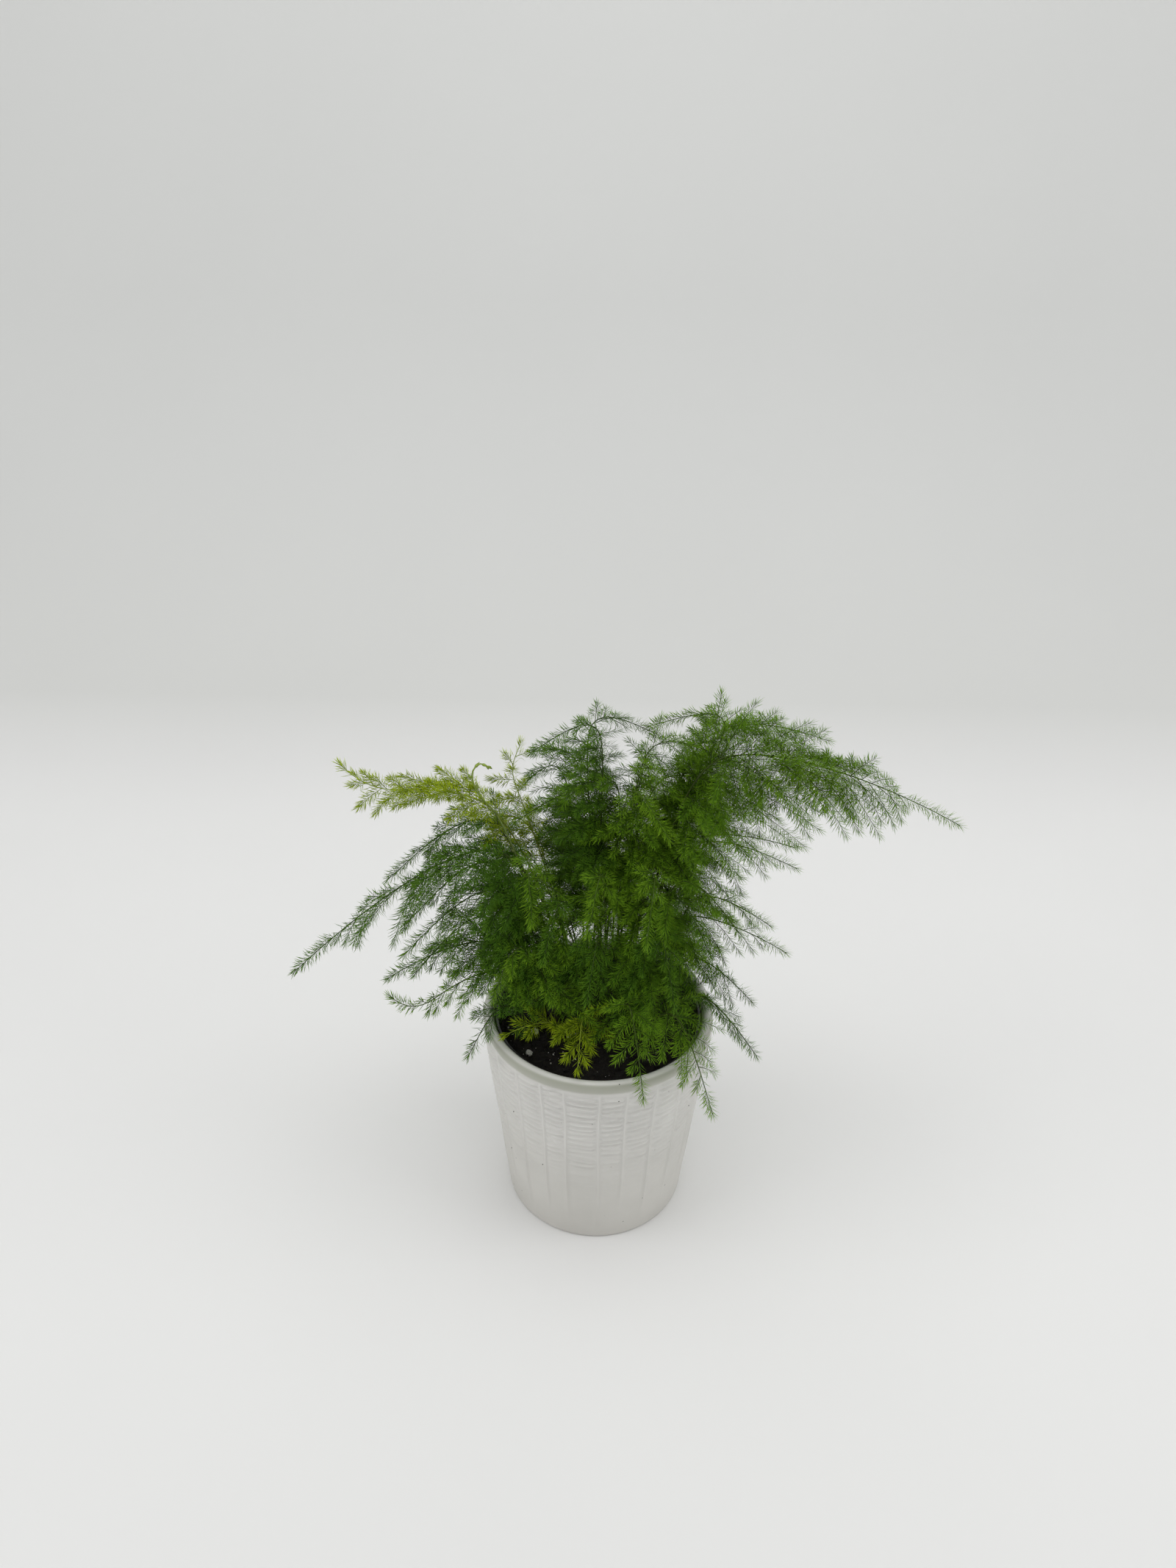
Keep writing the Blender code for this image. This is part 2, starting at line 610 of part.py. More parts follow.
class Limb:
    """A stem or spray as a three-sided tube grown into a bmesh, ring by ring."""

    def __init__(self, bm, space, number, line, across, roll=0):
        self.bm = bm
        self.space = space
        self.number = number
        self.line = line
        self.across = across
        self.roll = roll
        self.ring = None

    def place(self, distance, radius):
        """The three corners of the tube at a distance along its middle line."""
        centre, direction = along(self.line, distance)
        side, up = frame(direction, self.across, self.roll)
        corners = []
        for turn in (90, 210, 330):
            a = math.radians(turn)
            corners.append(centre + (side * math.cos(a) + up * math.sin(a)) * radius)
        return corners

    def start(self, distance, radius):
        self.ring = [self.bm.verts.new(p) for p in self.place(distance, radius)]
        self.bm.faces.new(self.ring[::-1])

    def start_on(self, opening, distance, radius):
        """Grow out of a four-sided opening in the parent limb. Its corners are joined to the new
        ring's in the same sense, or the tube would be turned inside out."""
        a, b, c, d = opening
        self.ring = [self.bm.verts.new(p) for p in self.place(distance, radius)]
        direction = along(self.line, distance)[1]
        same_sense = area_of(opening).dot(direction) * area_of(self.ring).dot(direction) > 0
        ring = self.ring if same_sense else self.ring[::-1]
        middle = (a.co + d.co) / 2
        first = min(range(3), key=lambda k: (ring[k].co - middle).length)
        p, q, r = ring[first], ring[(first + 1) % 3], ring[(first + 2) % 3]
        for corners in ((a, b, q, p), (b, c, r, q), (c, d, p, r), (d, a, p)):
            self.bm.faces.new(corners)

    def grow(self, distance, radius, open_face=None, needles=False):
        """Add a length of tube. open_face leaves one side open and returns its corners, and
        needles stands two needles on each side that is closed."""
        new = [self.bm.verts.new(p) for p in self.place(distance, radius)]
        direction = along(self.line, distance)[1]
        opening = None
        for k in range(3):
            corners = (self.ring[k], self.ring[(k + 1) % 3], new[(k + 1) % 3], new[k])
            if k == open_face:
                opening = corners
            elif needles:
                self.needle_pair(corners, direction)
            else:
                self.bm.faces.new(corners)
        self.ring = new
        return opening

    def needle_pair(self, corners, direction):
        a, b, c, d = corners
        middle = (a.co + b.co + c.co + d.co) / 4
        normal = (b.co - a.co).cross(d.co - a.co).normalized()
        if normal.dot(middle - along_axis(self.ring)) < 0:
            normal.negate()
        for triangle in ((a, b, c), (a, c, d)):
            root = (triangle[0].co + triangle[1].co + triangle[2].co) / 3
            aim = normal + direction * NEEDLE_LEAN + (root - middle).normalized() * NEEDLE_SPLAY
            self.needle(triangle, root, root + aim.normalized() * NEEDLE)

    def needle(self, triangle, root, tip):
        """A three-sided needle on a triangle of the tube, or the plain triangle if it has no room."""
        outer = root.lerp(tip, NEEDLE_TESTED)
        own = self.number // LIMBS_PER_FROND
        clear = (self.space.is_clear(root, tip, NEEDLE_RADIUS, (), CLEARANCE, skip_frond=own)
                 and self.space.is_clear(outer, tip, NEEDLE_RADIUS, (self.number,), CLEARANCE))
        if not clear:
            self.bm.faces.new(triangle)
            return
        self.space.add(root, tip, NEEDLE_RADIUS, self.number)
        point = self.bm.verts.new(tip)
        for p, q in ((0, 1), (1, 2), (2, 0)):
            self.bm.faces.new((triangle[p], triangle[q], point))

    def finish(self, length):
        """Close the tube in a point."""
        total = length_of(self.line)
        centre, direction = along(self.line, total)
        point = self.bm.verts.new(centre + direction * length)
        for k in range(3):
            self.bm.faces.new((self.ring[k], self.ring[(k + 1) % 3], point))


def along_axis(ring):
    return (ring[0].co + ring[1].co + ring[2].co) / 3


def side_profile(share):
    """Length of a side spray by its place along the frond: short at the base, longest a quarter
    of the way along, and tapering to the tip."""
    return min(1.0, 0.3 + 2.2 * share) * (1 - share) ** 0.75 + 0.06


def spray_line(f, root, direction, side, up, length, tilt):
    """The middle line of a side spray: out and forward, bending down under its weight."""
    upright = upright_share(direction)
    lean = math.radians(mix(SPRAY_LEAN, UPRIGHT_LEAN, upright))
    out = side * math.cos(lean) + direction * math.sin(lean) + up * mix(0.1, UPRIGHT_OUT, upright)
    out = (Matrix.Rotation(math.radians(tilt), 3, direction) @ out).normalized()
    points = []
    for i in range(SPRAY_STEPS + 1):
        share = i / SPRAY_STEPS
        point = root + out * (length * share)
        point.z -= 0.55 * f.sag * length * share ** 1.8
        points.append(point)
    return points


def spray_chain(line):
    """The rods that a spray takes up, from just off the stem to its point."""
    return [along(line, SPRAY_START)[0]] + line[1:] + [point_of(line, TIP_LENGTH)]


def free_spray(space, f, stem, distance, side_sign, length, limbs):
    """The first length and tilt that keep a side spray clear of its neighbours, or None."""
    centre, direction = along(stem, distance)
    side, up = frame(direction, across_of(f), f.roll)
    for share, tilt in SPRAY_TRIES:
        reach = length * share
        if reach < SHORTEST_SPRAY:
            continue
        line = spray_line(f, centre, direction, side * side_sign, up, reach, tilt * side_sign)
        if space.chain_is_clear(spray_chain(line), SPRAY_RADIUS, limbs, SPRAY_ROOM):
            return line
    return None


def plan_sprays(space, f, limb, stem):
    """Rows of (distance along the stem, side, limb number, line) for the sprays that have room."""
    rows = []
    for i, (distance, side, length) in enumerate(spray_places(f, stem)):
        line = free_spray(space, f, stem, distance, side, length, (limb,))
        if line:
            number = limb + 1 + i
            space.add_chain(spray_chain(line), SPRAY_RADIUS, number)
            rows.append((distance, side, number, line))
    return rows


def grow_spray(bm, space, number, line, corners, radius):
    total = length_of(line)
    across = (line[1] - line[0]).cross(Vector((0, 0, 1))).normalized()
    limb = Limb(bm, space, number, line, across)
    limb.start_on(corners, SPRAY_START, radius)
    first = min(FIRST_WHORL, total - NODE_LENGTH)
    count = max(1, round((total - first) / WHORL_PITCH))
    for i in range(count + 1):
        distance = mix(first, total - NODE_LENGTH, i / count)
        size = mix(radius, SPRAY_TIP_RADIUS, distance / total)
        limb.grow(distance, size)
        limb.grow(distance + NODE_LENGTH, size, needles=True)
        if total - first < WHORL_PITCH / 2:
            break
    limb.finish(TIP_LENGTH)


def build_frond(space, f, limb_number, stem, sprays):
    bm = bmesh.new()
    total = length_of(stem)
    limb = Limb(bm, space, limb_number, stem, across_of(f), f.roll)
    limb.start(0.0, STEM_RADIUS)
    taken = {row[0]: row for row in sprays}
    places = spray_places(f, stem)
    for distance in bare_rings(places[0][0] - NODE_LENGTH, STEM_RING_PITCH):
        limb.grow(distance, mix(STEM_RADIUS, STEM_TIP_RADIUS, distance / total))
    for distance, side, _ in places:
        size = mix(STEM_RADIUS, STEM_TIP_RADIUS, distance / total)
        limb.grow(distance - NODE_LENGTH / 2, size)
        if distance not in taken:
            limb.grow(distance + NODE_LENGTH / 2, size, needles=True)
            continue
        corners = limb.grow(distance + NODE_LENGTH / 2, size, open_face=2 if side > 0 else 0,
                            needles=True)
        _, _, number, line = taken[distance]
        radius = mix(SPRAY_RADIUS, SPRAY_TIP_RADIUS, distance / total)
        grow_spray(bm, space, number, line, corners, radius)
    limb.grow(total - NODE_LENGTH, STEM_TIP_RADIUS)
    limb.grow(total, STEM_TIP_RADIUS * 0.9, needles=True)
    limb.finish(TIP_LENGTH)
    add_object("frond_" + f.name, bm, material("foliage_" + f.tint, TINTS[f.tint], 0.6))


def build_shoot(space, line, limb_number):
    """A young shoot that has no sprays yet, only scale buds near its hooked top."""
    bm = bmesh.new()
    total = length_of(line)
    limb = Limb(bm, space, limb_number, line, Vector((0, 1, 0)))
    limb.start(0.0, STEM_RADIUS)
    hook_start = total - SHOOT_HOOK
    for distance in bare_rings(hook_start, STEM_RING_PITCH):
        limb.grow(distance, STEM_RADIUS)
    for i in range(SHOOT_BUDS):
        distance = hook_start + SHOOT_HOOK * (i + 1) / (SHOOT_BUDS + 1)
        limb.grow(distance - 0.6, mix(STEM_RADIUS, 0.5, i / SHOOT_BUDS))
        limb.grow(distance, 1.15 if i % 2 else 0.95)
        limb.grow(distance + 0.9, mix(STEM_RADIUS, 0.5, i / SHOOT_BUDS))
    limb.finish(1.5)
    add_object("young_shoot", bm, material("shoot", (0.20, 0.30, 0.05), 0.5))


def main():
    clear_scene()
    build_pot()
    build_liner()
    build_soil([f.foot for f in FRONDS] + [SHOOT_POINTS[0][:2]])
    build_perlite()
    space = Space()
    stems = []
    for index, f in enumerate(FRONDS):
        limb = index * LIMBS_PER_FROND
        stem = free_line(space, lambda bulge: stem_line(f, bulge), lambda line: frond_rings(f, line), limb)
        stems.append((f, limb, stem))
    shoot_limb = len(FRONDS) * LIMBS_PER_FROND
    shoot = free_line(space, shoot_line, shoot_rings, shoot_limb)
    sprays = [plan_sprays(space, f, limb, stem) for f, limb, stem in stems]
    for (f, limb, stem), rows in zip(stems, sprays):
        build_frond(space, f, limb, stem, rows)
    build_shoot(space, shoot, shoot_limb)


main()
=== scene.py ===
"""Potted asparagus fern: the finished look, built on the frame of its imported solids.

Lengths are in millimetres and are scaled to metres when a mesh is made. The pot's axis is Z, the
middle of its underside is the origin, and -Y is the side that faces the viewer. The stems follow
the same lines as the solids, and each frond's piece stands for its node.
"""
import math
from collections import namedtuple

import bmesh
import bpy
import numpy as np
from mathutils import Matrix, Vector, noise


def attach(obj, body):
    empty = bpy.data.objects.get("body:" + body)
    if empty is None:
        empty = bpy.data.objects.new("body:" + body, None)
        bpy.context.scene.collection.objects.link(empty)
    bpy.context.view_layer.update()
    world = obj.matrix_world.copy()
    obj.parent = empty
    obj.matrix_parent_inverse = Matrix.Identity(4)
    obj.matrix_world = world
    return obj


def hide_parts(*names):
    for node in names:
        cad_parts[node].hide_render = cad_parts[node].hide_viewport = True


MM = 0.001
SEED = 41

# Outer pot
POT_HEIGHT = 118.4
RIM_RADIUS = 60.0
BASE_RADIUS = 48.5
OPENING_RADIUS = 54.8
POT_FLOOR = 5.0
POT_WALL = 3.6
LIP_START = 112.4
LIP_PROUD = 0.8
LIP_HALF = 2.6
LIP_MIDDLE = 115.2
LIP_STEPS = 14
FOOT_BEVEL = 1.5
FOOT_STEPS = 4
FLOOR_BEND = 1.5
FLOOR_RING = 20.0
INNER_LEVELS = (112.0, 104.0, 80.0, 50.0, 20.0, POT_FLOOR + FLOOR_BEND)

# Relief on the outer pot
RIBS = 24
RIB_JITTER = math.radians(1.6)
RIB_STEPS = (-0.75, -0.4, 0.0, 0.4, 0.75)
PANEL_STEPS = 6
RIB_PROUD = 0.45
RIB_SWAY = 0.007
RIB_SWAY_LENGTH = 15.0
RIB_SWAY_TO = 95.0
RIB_LOW = 8.0
RIB_LOW_DRIFT = 7.0
RIB_FULL = 34.0
RIDGE_POWER = 0.8
RELIEF_TOP = 110.6
RELIEF_FADE = (1.5, -1.0)
ROW_PITCH = 1.1
FINE_ROW_PITCH = 0.56
FINE_ROWS_FROM = 58.0
ROWS_STOP = 1.2

# Bars between the ribs. Proud, pitch, wave, low and full are lengths, and the rest are shares
BAR_PROUD = 1.35
BAR_PITCH = 3.5
BAR_WAVE = 0.6
BAR_SWING = 2.6
BAR_SHIFT = 0.10
BAR_HALF = 0.30
BAR_HALF_DRIFT = 0.08
BAR_UPPER_FLANK = 1.25
BAR_LOWER_FLANK = 0.7
BAR_ENDS = (-0.05, 0.08)
BAR_LOW = 20.0
BAR_FULL = 98.0
BREAK_DEPTH = 0.7
BREAK_HALF = 0.07
BREAK_DRIFT = 0.3
BREAK_OVER = 0.55

# Grower's pot, soil and grains
LINER_TOP = 114.5
LINER_WALL = 1.2
LINER_FLOOR = 1.6
LINER_PLAY = 0.9
LINER_LIP = 2.5
LINER_BEND = 1.0
LINER_SIDES = 128
DRAIN_HOLES = 6
DRAIN_RADIUS = 4.0
DRAIN_RING = 28.0
DRAIN_SIDES = 24
GAP = 0.3
SOIL_TOP = 105.0
SOIL_DOME = 1.5
SOIL_LUMP = 0.9
SOIL_SIDES = 128
SOIL_RINGS = 34
CRUMBS = 1150
CRUMB_SHAPES = 12
CRUMB_SMALLEST = 0.35
CRUMB_RANGE = 1.0
CRUMB_STRETCH = (0.6, 1.3)
CRUMB_WALL_ROOM = 1.2
PERLITE = [(-46.0, 9.0, 2.6), (-35.0, -25.0, 1.8), (-33.0, -8.0, 1.9)]
PERLITE_SHAPE = (0.96, 0.88, 0.84)
PERLITE_SUNK = 1.2
SPECKS = 75
SPECK_SIDE = math.radians(235)
SPECK_SIDE_SPREAD = 1.1
SPECK_SMALLEST = 0.18
SPECK_RANGE = 0.40
SPECK_RISE = 0.75
SPECK_WALL_ROOM = 1.5
# The grower's pot's rolled edge: how far out from its wall and how far below its top
LINER_EDGE = [(0.40, 2.1), (0.40, 0.5), (0.25, 0.15), (0.0, 0.0), (-0.6, 0.0), (-1.05, 0.15),
              (-LINER_WALL, 0.5)]
# Height in millimetres and fineness of the two layers of the soil's grain
SOIL_GRAIN = [(0.7, 0.35), (0.55, 0.9)]

# Stems and sprays, on the lines of the solids
STEM_DEPTH = 14.0
STEM_UPRIGHT = 17.0
STEM_STEPS = 60
SPRAY_LEAN = 43.0
UPRIGHT_FROM = 0.65
UPRIGHT_FULL = 0.97
UPRIGHT_REACH = 0.85
UPRIGHT_LEAN = 12.0
UPRIGHT_OUT = -0.7
SPRAY_LIFT = 0.1
SPRAY_SAG = 0.55
SAG_POWER = 1.8
SPRAY_STEPS = 6
TIP_LENGTH = 4.5
ARCH_HEADING = (0.5, 0.5, 0.22)
TIP_HEADING = 0.9
TIP_DROOP = 0.25
FLICK_FROM = 0.8
STEM_BENDS = {"crown_middle": -4.0}
SHOOT_BEND = -2.0

# The finer growth that is only here. A group is the first word of a frond's name
STEM_RADIUS = 0.8
STEM_TIP_RADIUS = 0.18
STEM_ROW = 3.5
SPRAY_PITCH = 3.8
PITCH_SHARE = {"crown": 0.70, "light": 1.05, "front": 1.2, "right": 1.3, "near": 0.95, "mound": 0.9,
               "far": 1.1}
FEWEST_SPRAYS = 6
PITCH_JITTER = 0.3
LOWER_START = {"light": 0.0, "near": 0.24, "mound": 0.12}
USUAL_LOWER_START = 0.10
PLUME_SHARE = {"dark": 0.16, "mid": 0.16, "new": 0.05}
PLUME_AGE = 0.35
SPRAY_RADIUS = 0.22
SPRAY_TIP_RADIUS = 0.12
SPRAY_ROW = 5
SPRAY_EXTRA = 2.0
SPRAY_LENGTHS = (0.80, 1.08)
SPRAY_SHORTEST = 4.0
SPRAY_LEAN_SPREAD = 7
SPRAY_TILT = 17
UPRIGHT_TILT = 26
UPRIGHT_TURN = 0.85
PLANE_SPREAD = 0.12
TWIGS_TO = 0.62
CROWN_TWIGS_TO = 0.8
TWIG_SHARE = 0.36
CROWN_TWIG_SHARE = 0.50
TWIG_START = (2.5, 4.5)
TWIG_PITCH = 4.3
TWIG_GAPS = (0.75, 1.25)
TWIG_LENGTHS = (0.65, 1.1)
TWIG_LEAN = 40.0
TWIG_LEAN_SPREAD = 7
TWIG_LIFT = (-0.14, 0.24)
TWIG_CURL = 0.12
TWIG_SAG = 0.10
TWIG_REACH = 0.50
TWIG_SHORTEST = 4.0
TWIG_RADIUS = 0.15
TWIG_TIP_RADIUS = 0.08
NEEDLE = 5.8
NEEDLE_RADIUS = 0.20
NEEDLE_LENGTHS = (0.78, 1.12)
NEEDLE_LEANS = (math.radians(46), math.radians(80))
NEEDLES_PER_MM = {"dark": 4.4, "mid": 4.7, "new": 6.6}
STEM_NEEDLES_PER_MM = 1.2
PLUME_NEEDLES_PER_MM = 6.0
FAR_NEEDLES = 0.7
BELLY = (0.32, 0.62)
SLIVER = ((0, 2, 1), (0, 1, 3), (0, 3, 2), (1, 2, 3))
GOLDEN_TURN = math.radians(137.5)
AGES = {"light": (0.75, 0.85), "front": (0.38, 0.52), "crown": (0.25, 0.40), "near": (0.28, 0.48)}
USUAL_AGES = (0.12, 0.36)
AGE_TO_TIP = 0.3
SPRAY_AGE_SPREAD = 0.16
NEEDLE_AGE_SPREAD = 0.14

Habit = namedtuple("Habit", "start end count age density twig_share twigs_to")

# Each frond's foot in the soil, the shoulder where it arches over, its tip, the reach of its sprays
# and where they start on the stem, then how they sag, roll, flick up and favour one side
Frond = namedtuple("Frond", "name foot shoulder tip spread first sag roll flick tint lop",
                   defaults=(0, 0, "dark", 0))
# A frond whose tint is not given takes the dark tint, which is painted shade
FRONDS = [
    # Crown of tall fronds
    Frond("crown_right", (20, 2), (56, 6, 260), (170, 0, 229), 76, 0.42, 0.45, 18, tint="mid", lop=0.10),
    Frond("crown_right_back", (13, 11), (52, 34, 258), (116, 52, 248), 60, 0.42, 0.20, tint="mid", lop=0.15),
    Frond("crown_turned", (18, 15), (58, 24, 268), (22, 40, 260), 48, 0.46, 0.2, tint="mid"),
    Frond("crown_middle", (3, -3), (-3, 26, 264), (32, 48, 250), 54, 0.38, 0.2),
    Frond("crown_fan", (-4, 2), (-2, 14, 268), (-34, 16, 257), 50, 0.42, 0.3),
    Frond("crown_fill", (8, 4), (22, 10, 262), (66, 16, 250), 60, 0.40, 0.3, tint="mid"),
    Frond("crown_left", (-6, 10), (-12, 36, 240), (-38, 66, 232), 58, 0.38, 0.2),
    Frond("band_right", (10, 17), (30, 30, 236), (92, 36, 210), 57, 0.34, 0.35, tint="mid", lop=0.10),
    Frond("band_left", (2, 14), (6, 14, 242), (-42, 2, 226), 53, 0.38, 0.3, tint="mid"),
    # New growth on the left
    Frond("light_left", (-16, 6), (-58, 6, 235), (-124, 6, 236), 42, 0.54, 0.35, 0, 18, "new"),
    Frond("light_upright", (-13, 15), (-43, 28, 232), (-41, 42, 250), 40, 0.54, 0.0, tint="new"),
    # Left side
    Frond("left_long", (-14, -6), (-52, -14, 220), (-148, -26, 157), 48, 0.36, 0.75, lop=-0.2),
    Frond("left_high", (-20, 1), (-54, 4, 225), (-106, 6, 190), 54, 0.34, 0.5),
    Frond("left_fill", (-28, 6), (-54, -6, 208), (-94, -14, 178), 54, 0.34, 0.7, lop=-0.15),
    Frond("left_mid", (-20, -9), (-50, -18, 200), (-95, -24, 166), 50, 0.30, 0.6),
    Frond("left_under", (-34, -6), (-56, -16, 184), (-90, -26, 156), 48, 0.32, 0.6),
    Frond("left_low", (-27, -3), (-56, -12, 166), (-106, -14, 144), 44, 0.30, 0.5),
    Frond("left_hook", (-26, -12), (-52, -22, 156), (-102, -30, 124), 35, 0.30, 0.5, 0, 22, "mid"),
    Frond("left_rim", (-33, -14), (-48, -27, 138), (-64, -38, 116), 26, 0.30, 0.5),
    # Right side
    Frond("right_high", (22, -5), (40, -4, 220), (94, 4, 213), 60, 0.34, 0.6, tint="mid"),
    Frond("right_mid", (25, 7), (46, 14, 208), (98, 12, 196), 64, 0.34, 0.85, tint="mid", lop=0.10),
    Frond("right_fill", (34, -1), (47, -6, 190), (85, -4, 172), 58, 0.34, 0.7, tint="mid"),
    Frond("right_hang", (16, -9), (37, -20, 208), (66, -28, 184), 54, 0.32, 0.6, tint="mid"),
    Frond("right_low", (31, 3), (44, 6, 170), (96, 4, 150), 50, 0.32, 0.6, tint="mid"),
    Frond("right_rim", (30, -6), (46, -12, 158), (78, -14, 132), 42, 0.30, 0.7),
    Frond("right_drop", (29, -15), (48, -25, 146), (80, -29, 110), 35, 0.30, 0.6),
    # Towards the viewer
    Frond("front_right", (21, -22), (36, -42, 146), (55, -62, 103), 35, 0.30, 0.6, tint="mid"),
    Frond("front_middle", (9, -20), (14, -42, 152), (21, -68, 118), 36, 0.28, 0.5, tint="mid"),
    Frond("front_left", (-4, -22), (-8, -38, 140), (-10, -58, 125.5), 28, 0.34, 0.5, tint="new"),
    Frond("front_low", (-12, -24), (-26, -31, 132), (-46, -39, 130), 22, 0.36, 0.4, tint="new"),
    Frond("front_patch", (-19, -16), (-38, -30, 176), (-50, -46, 158), 40, 0.34, 0.5, 20, tint="mid",
          lop=-0.25),
    Frond("mound_left", (-2, -13), (-1, -27, 182), (-6, -52, 162), 42, 0.26, 0.5),
    Frond("mound_right", (13, -14), (26, -25, 185), (35, -49, 157), 42, 0.26, 0.5),
    # Hanging over the middle
    Frond("near_left", (-10, -3), (-32, -25, 222), (-31, -51, 204), 36, 0.46, 0.4, tint="mid"),
    Frond("near_middle", (4, -9), (0, -25, 214), (-6, -51, 199), 36, 0.46, 0.4, tint="mid"),
    Frond("near_right", (12, -3), (24, -23, 214), (20, -53, 195), 38, 0.46, 0.4, tint="mid"),
    Frond("near_high", (6, 6), (12, -4, 246), (30, -30, 236), 42, 0.40, 0.4, tint="mid"),
    Frond("near_low", (-7, -9), (-18, -26, 200), (-26, -54, 186), 38, 0.36, 0.6),
    Frond("near_low_right", (20, -12), (34, -22, 200), (50, -48, 186), 38, 0.36, 0.6),
    # Far side
    Frond("far_right", (17, 22), (40, 56, 200), (76, 94, 176), 55, 0.32, 0.5),
    Frond("far_left", (-14, 21), (-40, 54, 196), (-78, 86, 170), 53, 0.32, 0.5),
    Frond("far_middle", (1, 25), (0, 62, 190), (-4, 108, 160), 55, 0.32, 0.5),
    Frond("far_low", (9, 31), (28, 62, 150), (46, 92, 120), 42, 0.30, 0.5),
    Frond("far_low_left", (-9, 31), (-30, 60, 150), (-56, 82, 122), 42, 0.30, 0.5),
    Frond("far_high", (9, 24), (22, 48, 236), (36, 84, 210), 50, 0.38, 0.45),
    Frond("far_high_left", (-7, 22), (-20, 46, 230), (-44, 80, 204), 48, 0.36, 0.45),
]

SHOOT_POINTS = [(-22, -4, 108), (-25, -5, 150), (-39, -4, 205), (-49, 0, 230), (-58, 0, 243),
                (-61, 0, 252), (-59, 0, 257.5), (-55.5, 0, 258.5), (-53.5, 0, 255.5)]
SHOOT_STEPS = 6
SHOOT_RADIUS = 0.78
SHOOT_TIP_RADIUS = 0.36
BUDS = 9
BUD_FIRST = 1.2
BUD_GAP = 2.6
BUD_GAP_GROWTH = 0.55
BUD_TURN = 150
BUD_TURN_START = 40
BUD_RADII = (0.32, 0.78, 0.70, 0.42, 0.08)

# Colours of the pot. The grey-green band round the lip is painted shade with a painted green reflection of
# the foliage, and lies between two shares of the pot's height
GLAZE = ((0.700, 0.692, 0.662), (0.765, 0.757, 0.727))
LIP_SHADE_COLOUR = (0.39, 0.40, 0.33)
LIP_SHADE_LOW = 0.949
LIP_SHADE_HIGH = 0.9950
IRON = (0.045, 0.038, 0.030)
IRON_SCALE = 400.0
IRON_SHARE = 0.04
BLACK = (0, 0, 0)
WHITE = (1, 1, 1)

# Colours of each tint: old and young needles, each from root to tip, then the stem from soil to tip. The
# dark tint is the mid green in painted shade, for fronds that lie in shade
Tint = namedtuple("Tint", "old_root old_tip young_root young_tip bark twig")
TINTS = {
    "dark": Tint((0.052, 0.160, 0.010), (0.130, 0.300, 0.018), (0.106, 0.262, 0.015),
                 (0.235, 0.450, 0.026), (0.036, 0.032, 0.014), (0.040, 0.080, 0.010)),
    "mid": Tint((0.102, 0.248, 0.011), (0.202, 0.420, 0.018), (0.182, 0.385, 0.015),
                (0.350, 0.610, 0.028), (0.042, 0.038, 0.016), (0.060, 0.110, 0.012)),
    "new": Tint((0.130, 0.230, 0.005), (0.250, 0.380, 0.010), (0.430, 0.600, 0.010),
                (0.640, 0.800, 0.022), (0.062, 0.058, 0.022), (0.240, 0.320, 0.026)),
}
BAKE_MAP = "OFBake"
NEEDLE_LOW = 0.03
NEEDLE_HIGH = 0.68
BARK_LOW = 0.76
BARK_HIGH = 0.98
SHOOT_BARK = (0.8, 0.9)
MARK_WIDTH = 0.012
LEAF_SHINE = 0.12

# Surroundings: the backdrop in millimetres, the lights and the camera in metres
FLOOR_FRONT = -3200.0
FLOOR_MIDDLE = -400.0
SWEEP_START = 330.0
SWEEP_RADIUS = 420.0
SWEEP_STEPS = 16
SHEET_HALF = 3600.0
SHEET_TOP = 3200.0
SKY = (1.0, 1.0, 0.99, 1.0)
SKY_STRENGTH = 0.50
# Name, place, target, size and power of each light
LIGHTS = [
    ("overhead", (0.05, -0.05, 1.35), (0, 0, 0.10), (1.1, 1.1), 6.0),
    ("left", (-1.2, -0.35, 0.65), (0, 0, 0.15), (0.8, 1.0), 3.2),
    ("right", (1.2, -0.25, 0.65), (0, 0, 0.15), (0.8, 1.0), 3.0),
]
CAMERA_PLACE = (-0.0071, -0.4326, 0.4743)
CAMERA_PITCH = math.radians(27.58)
CAMERA_ROLL = math.radians(0.85)
LENS = 24.0
SENSOR = 36.0
NEAREST = 0.02


# Small helpers
def mix(a, b, share):
    return a + (b - a) * share


def smooth(low, high, value):
    """0 below low, 1 above high, with a soft change between them. Takes arrays too."""
    t = np.clip((value - low) / (high - low), 0.0, 1.0)
    return t * t * (3 - 2 * t)


def polar(out, angle):
    return out * math.cos(angle), out * math.sin(angle)


def unit(v):
    return v / np.linalg.norm(v, axis=-1, keepdims=True)


def hermite(a, heading_a, b, heading_b, s):
    """Points on the smooth curve from a to b that leaves and arrives along the two headings."""
    s = np.asarray(s, dtype=float)[..., None]
    return (a * (2 * s**3 - 3 * s * s + 1) + heading_a * (s**3 - 2 * s * s + s)
            + b * (3 * s * s - 2 * s**3) + heading_b * (s**3 - s * s))


def turn_about(v, axis, degrees):
    a = math.radians(degrees)
    return v * math.cos(a) + np.cross(axis, v) * math.sin(a)


class Line:
    """A chain of points on which a place is found by its distance from the start."""

    def __init__(self, points):
        self.points = np.array(points, dtype=float)
        steps = np.linalg.norm(np.diff(self.points, axis=0), axis=1)
        self.marks = np.concatenate([[0.0], np.cumsum(steps)])
        self.length = float(self.marks[-1])

    def at(self, distance):
        return np.stack([np.interp(distance, self.marks, self.points[:, k]) for k in range(3)], axis=-1)

    def heading(self, distance):
        distance = np.asarray(distance, dtype=float)
        return unit(self.at(distance + 0.5) - self.at(distance - 0.5))


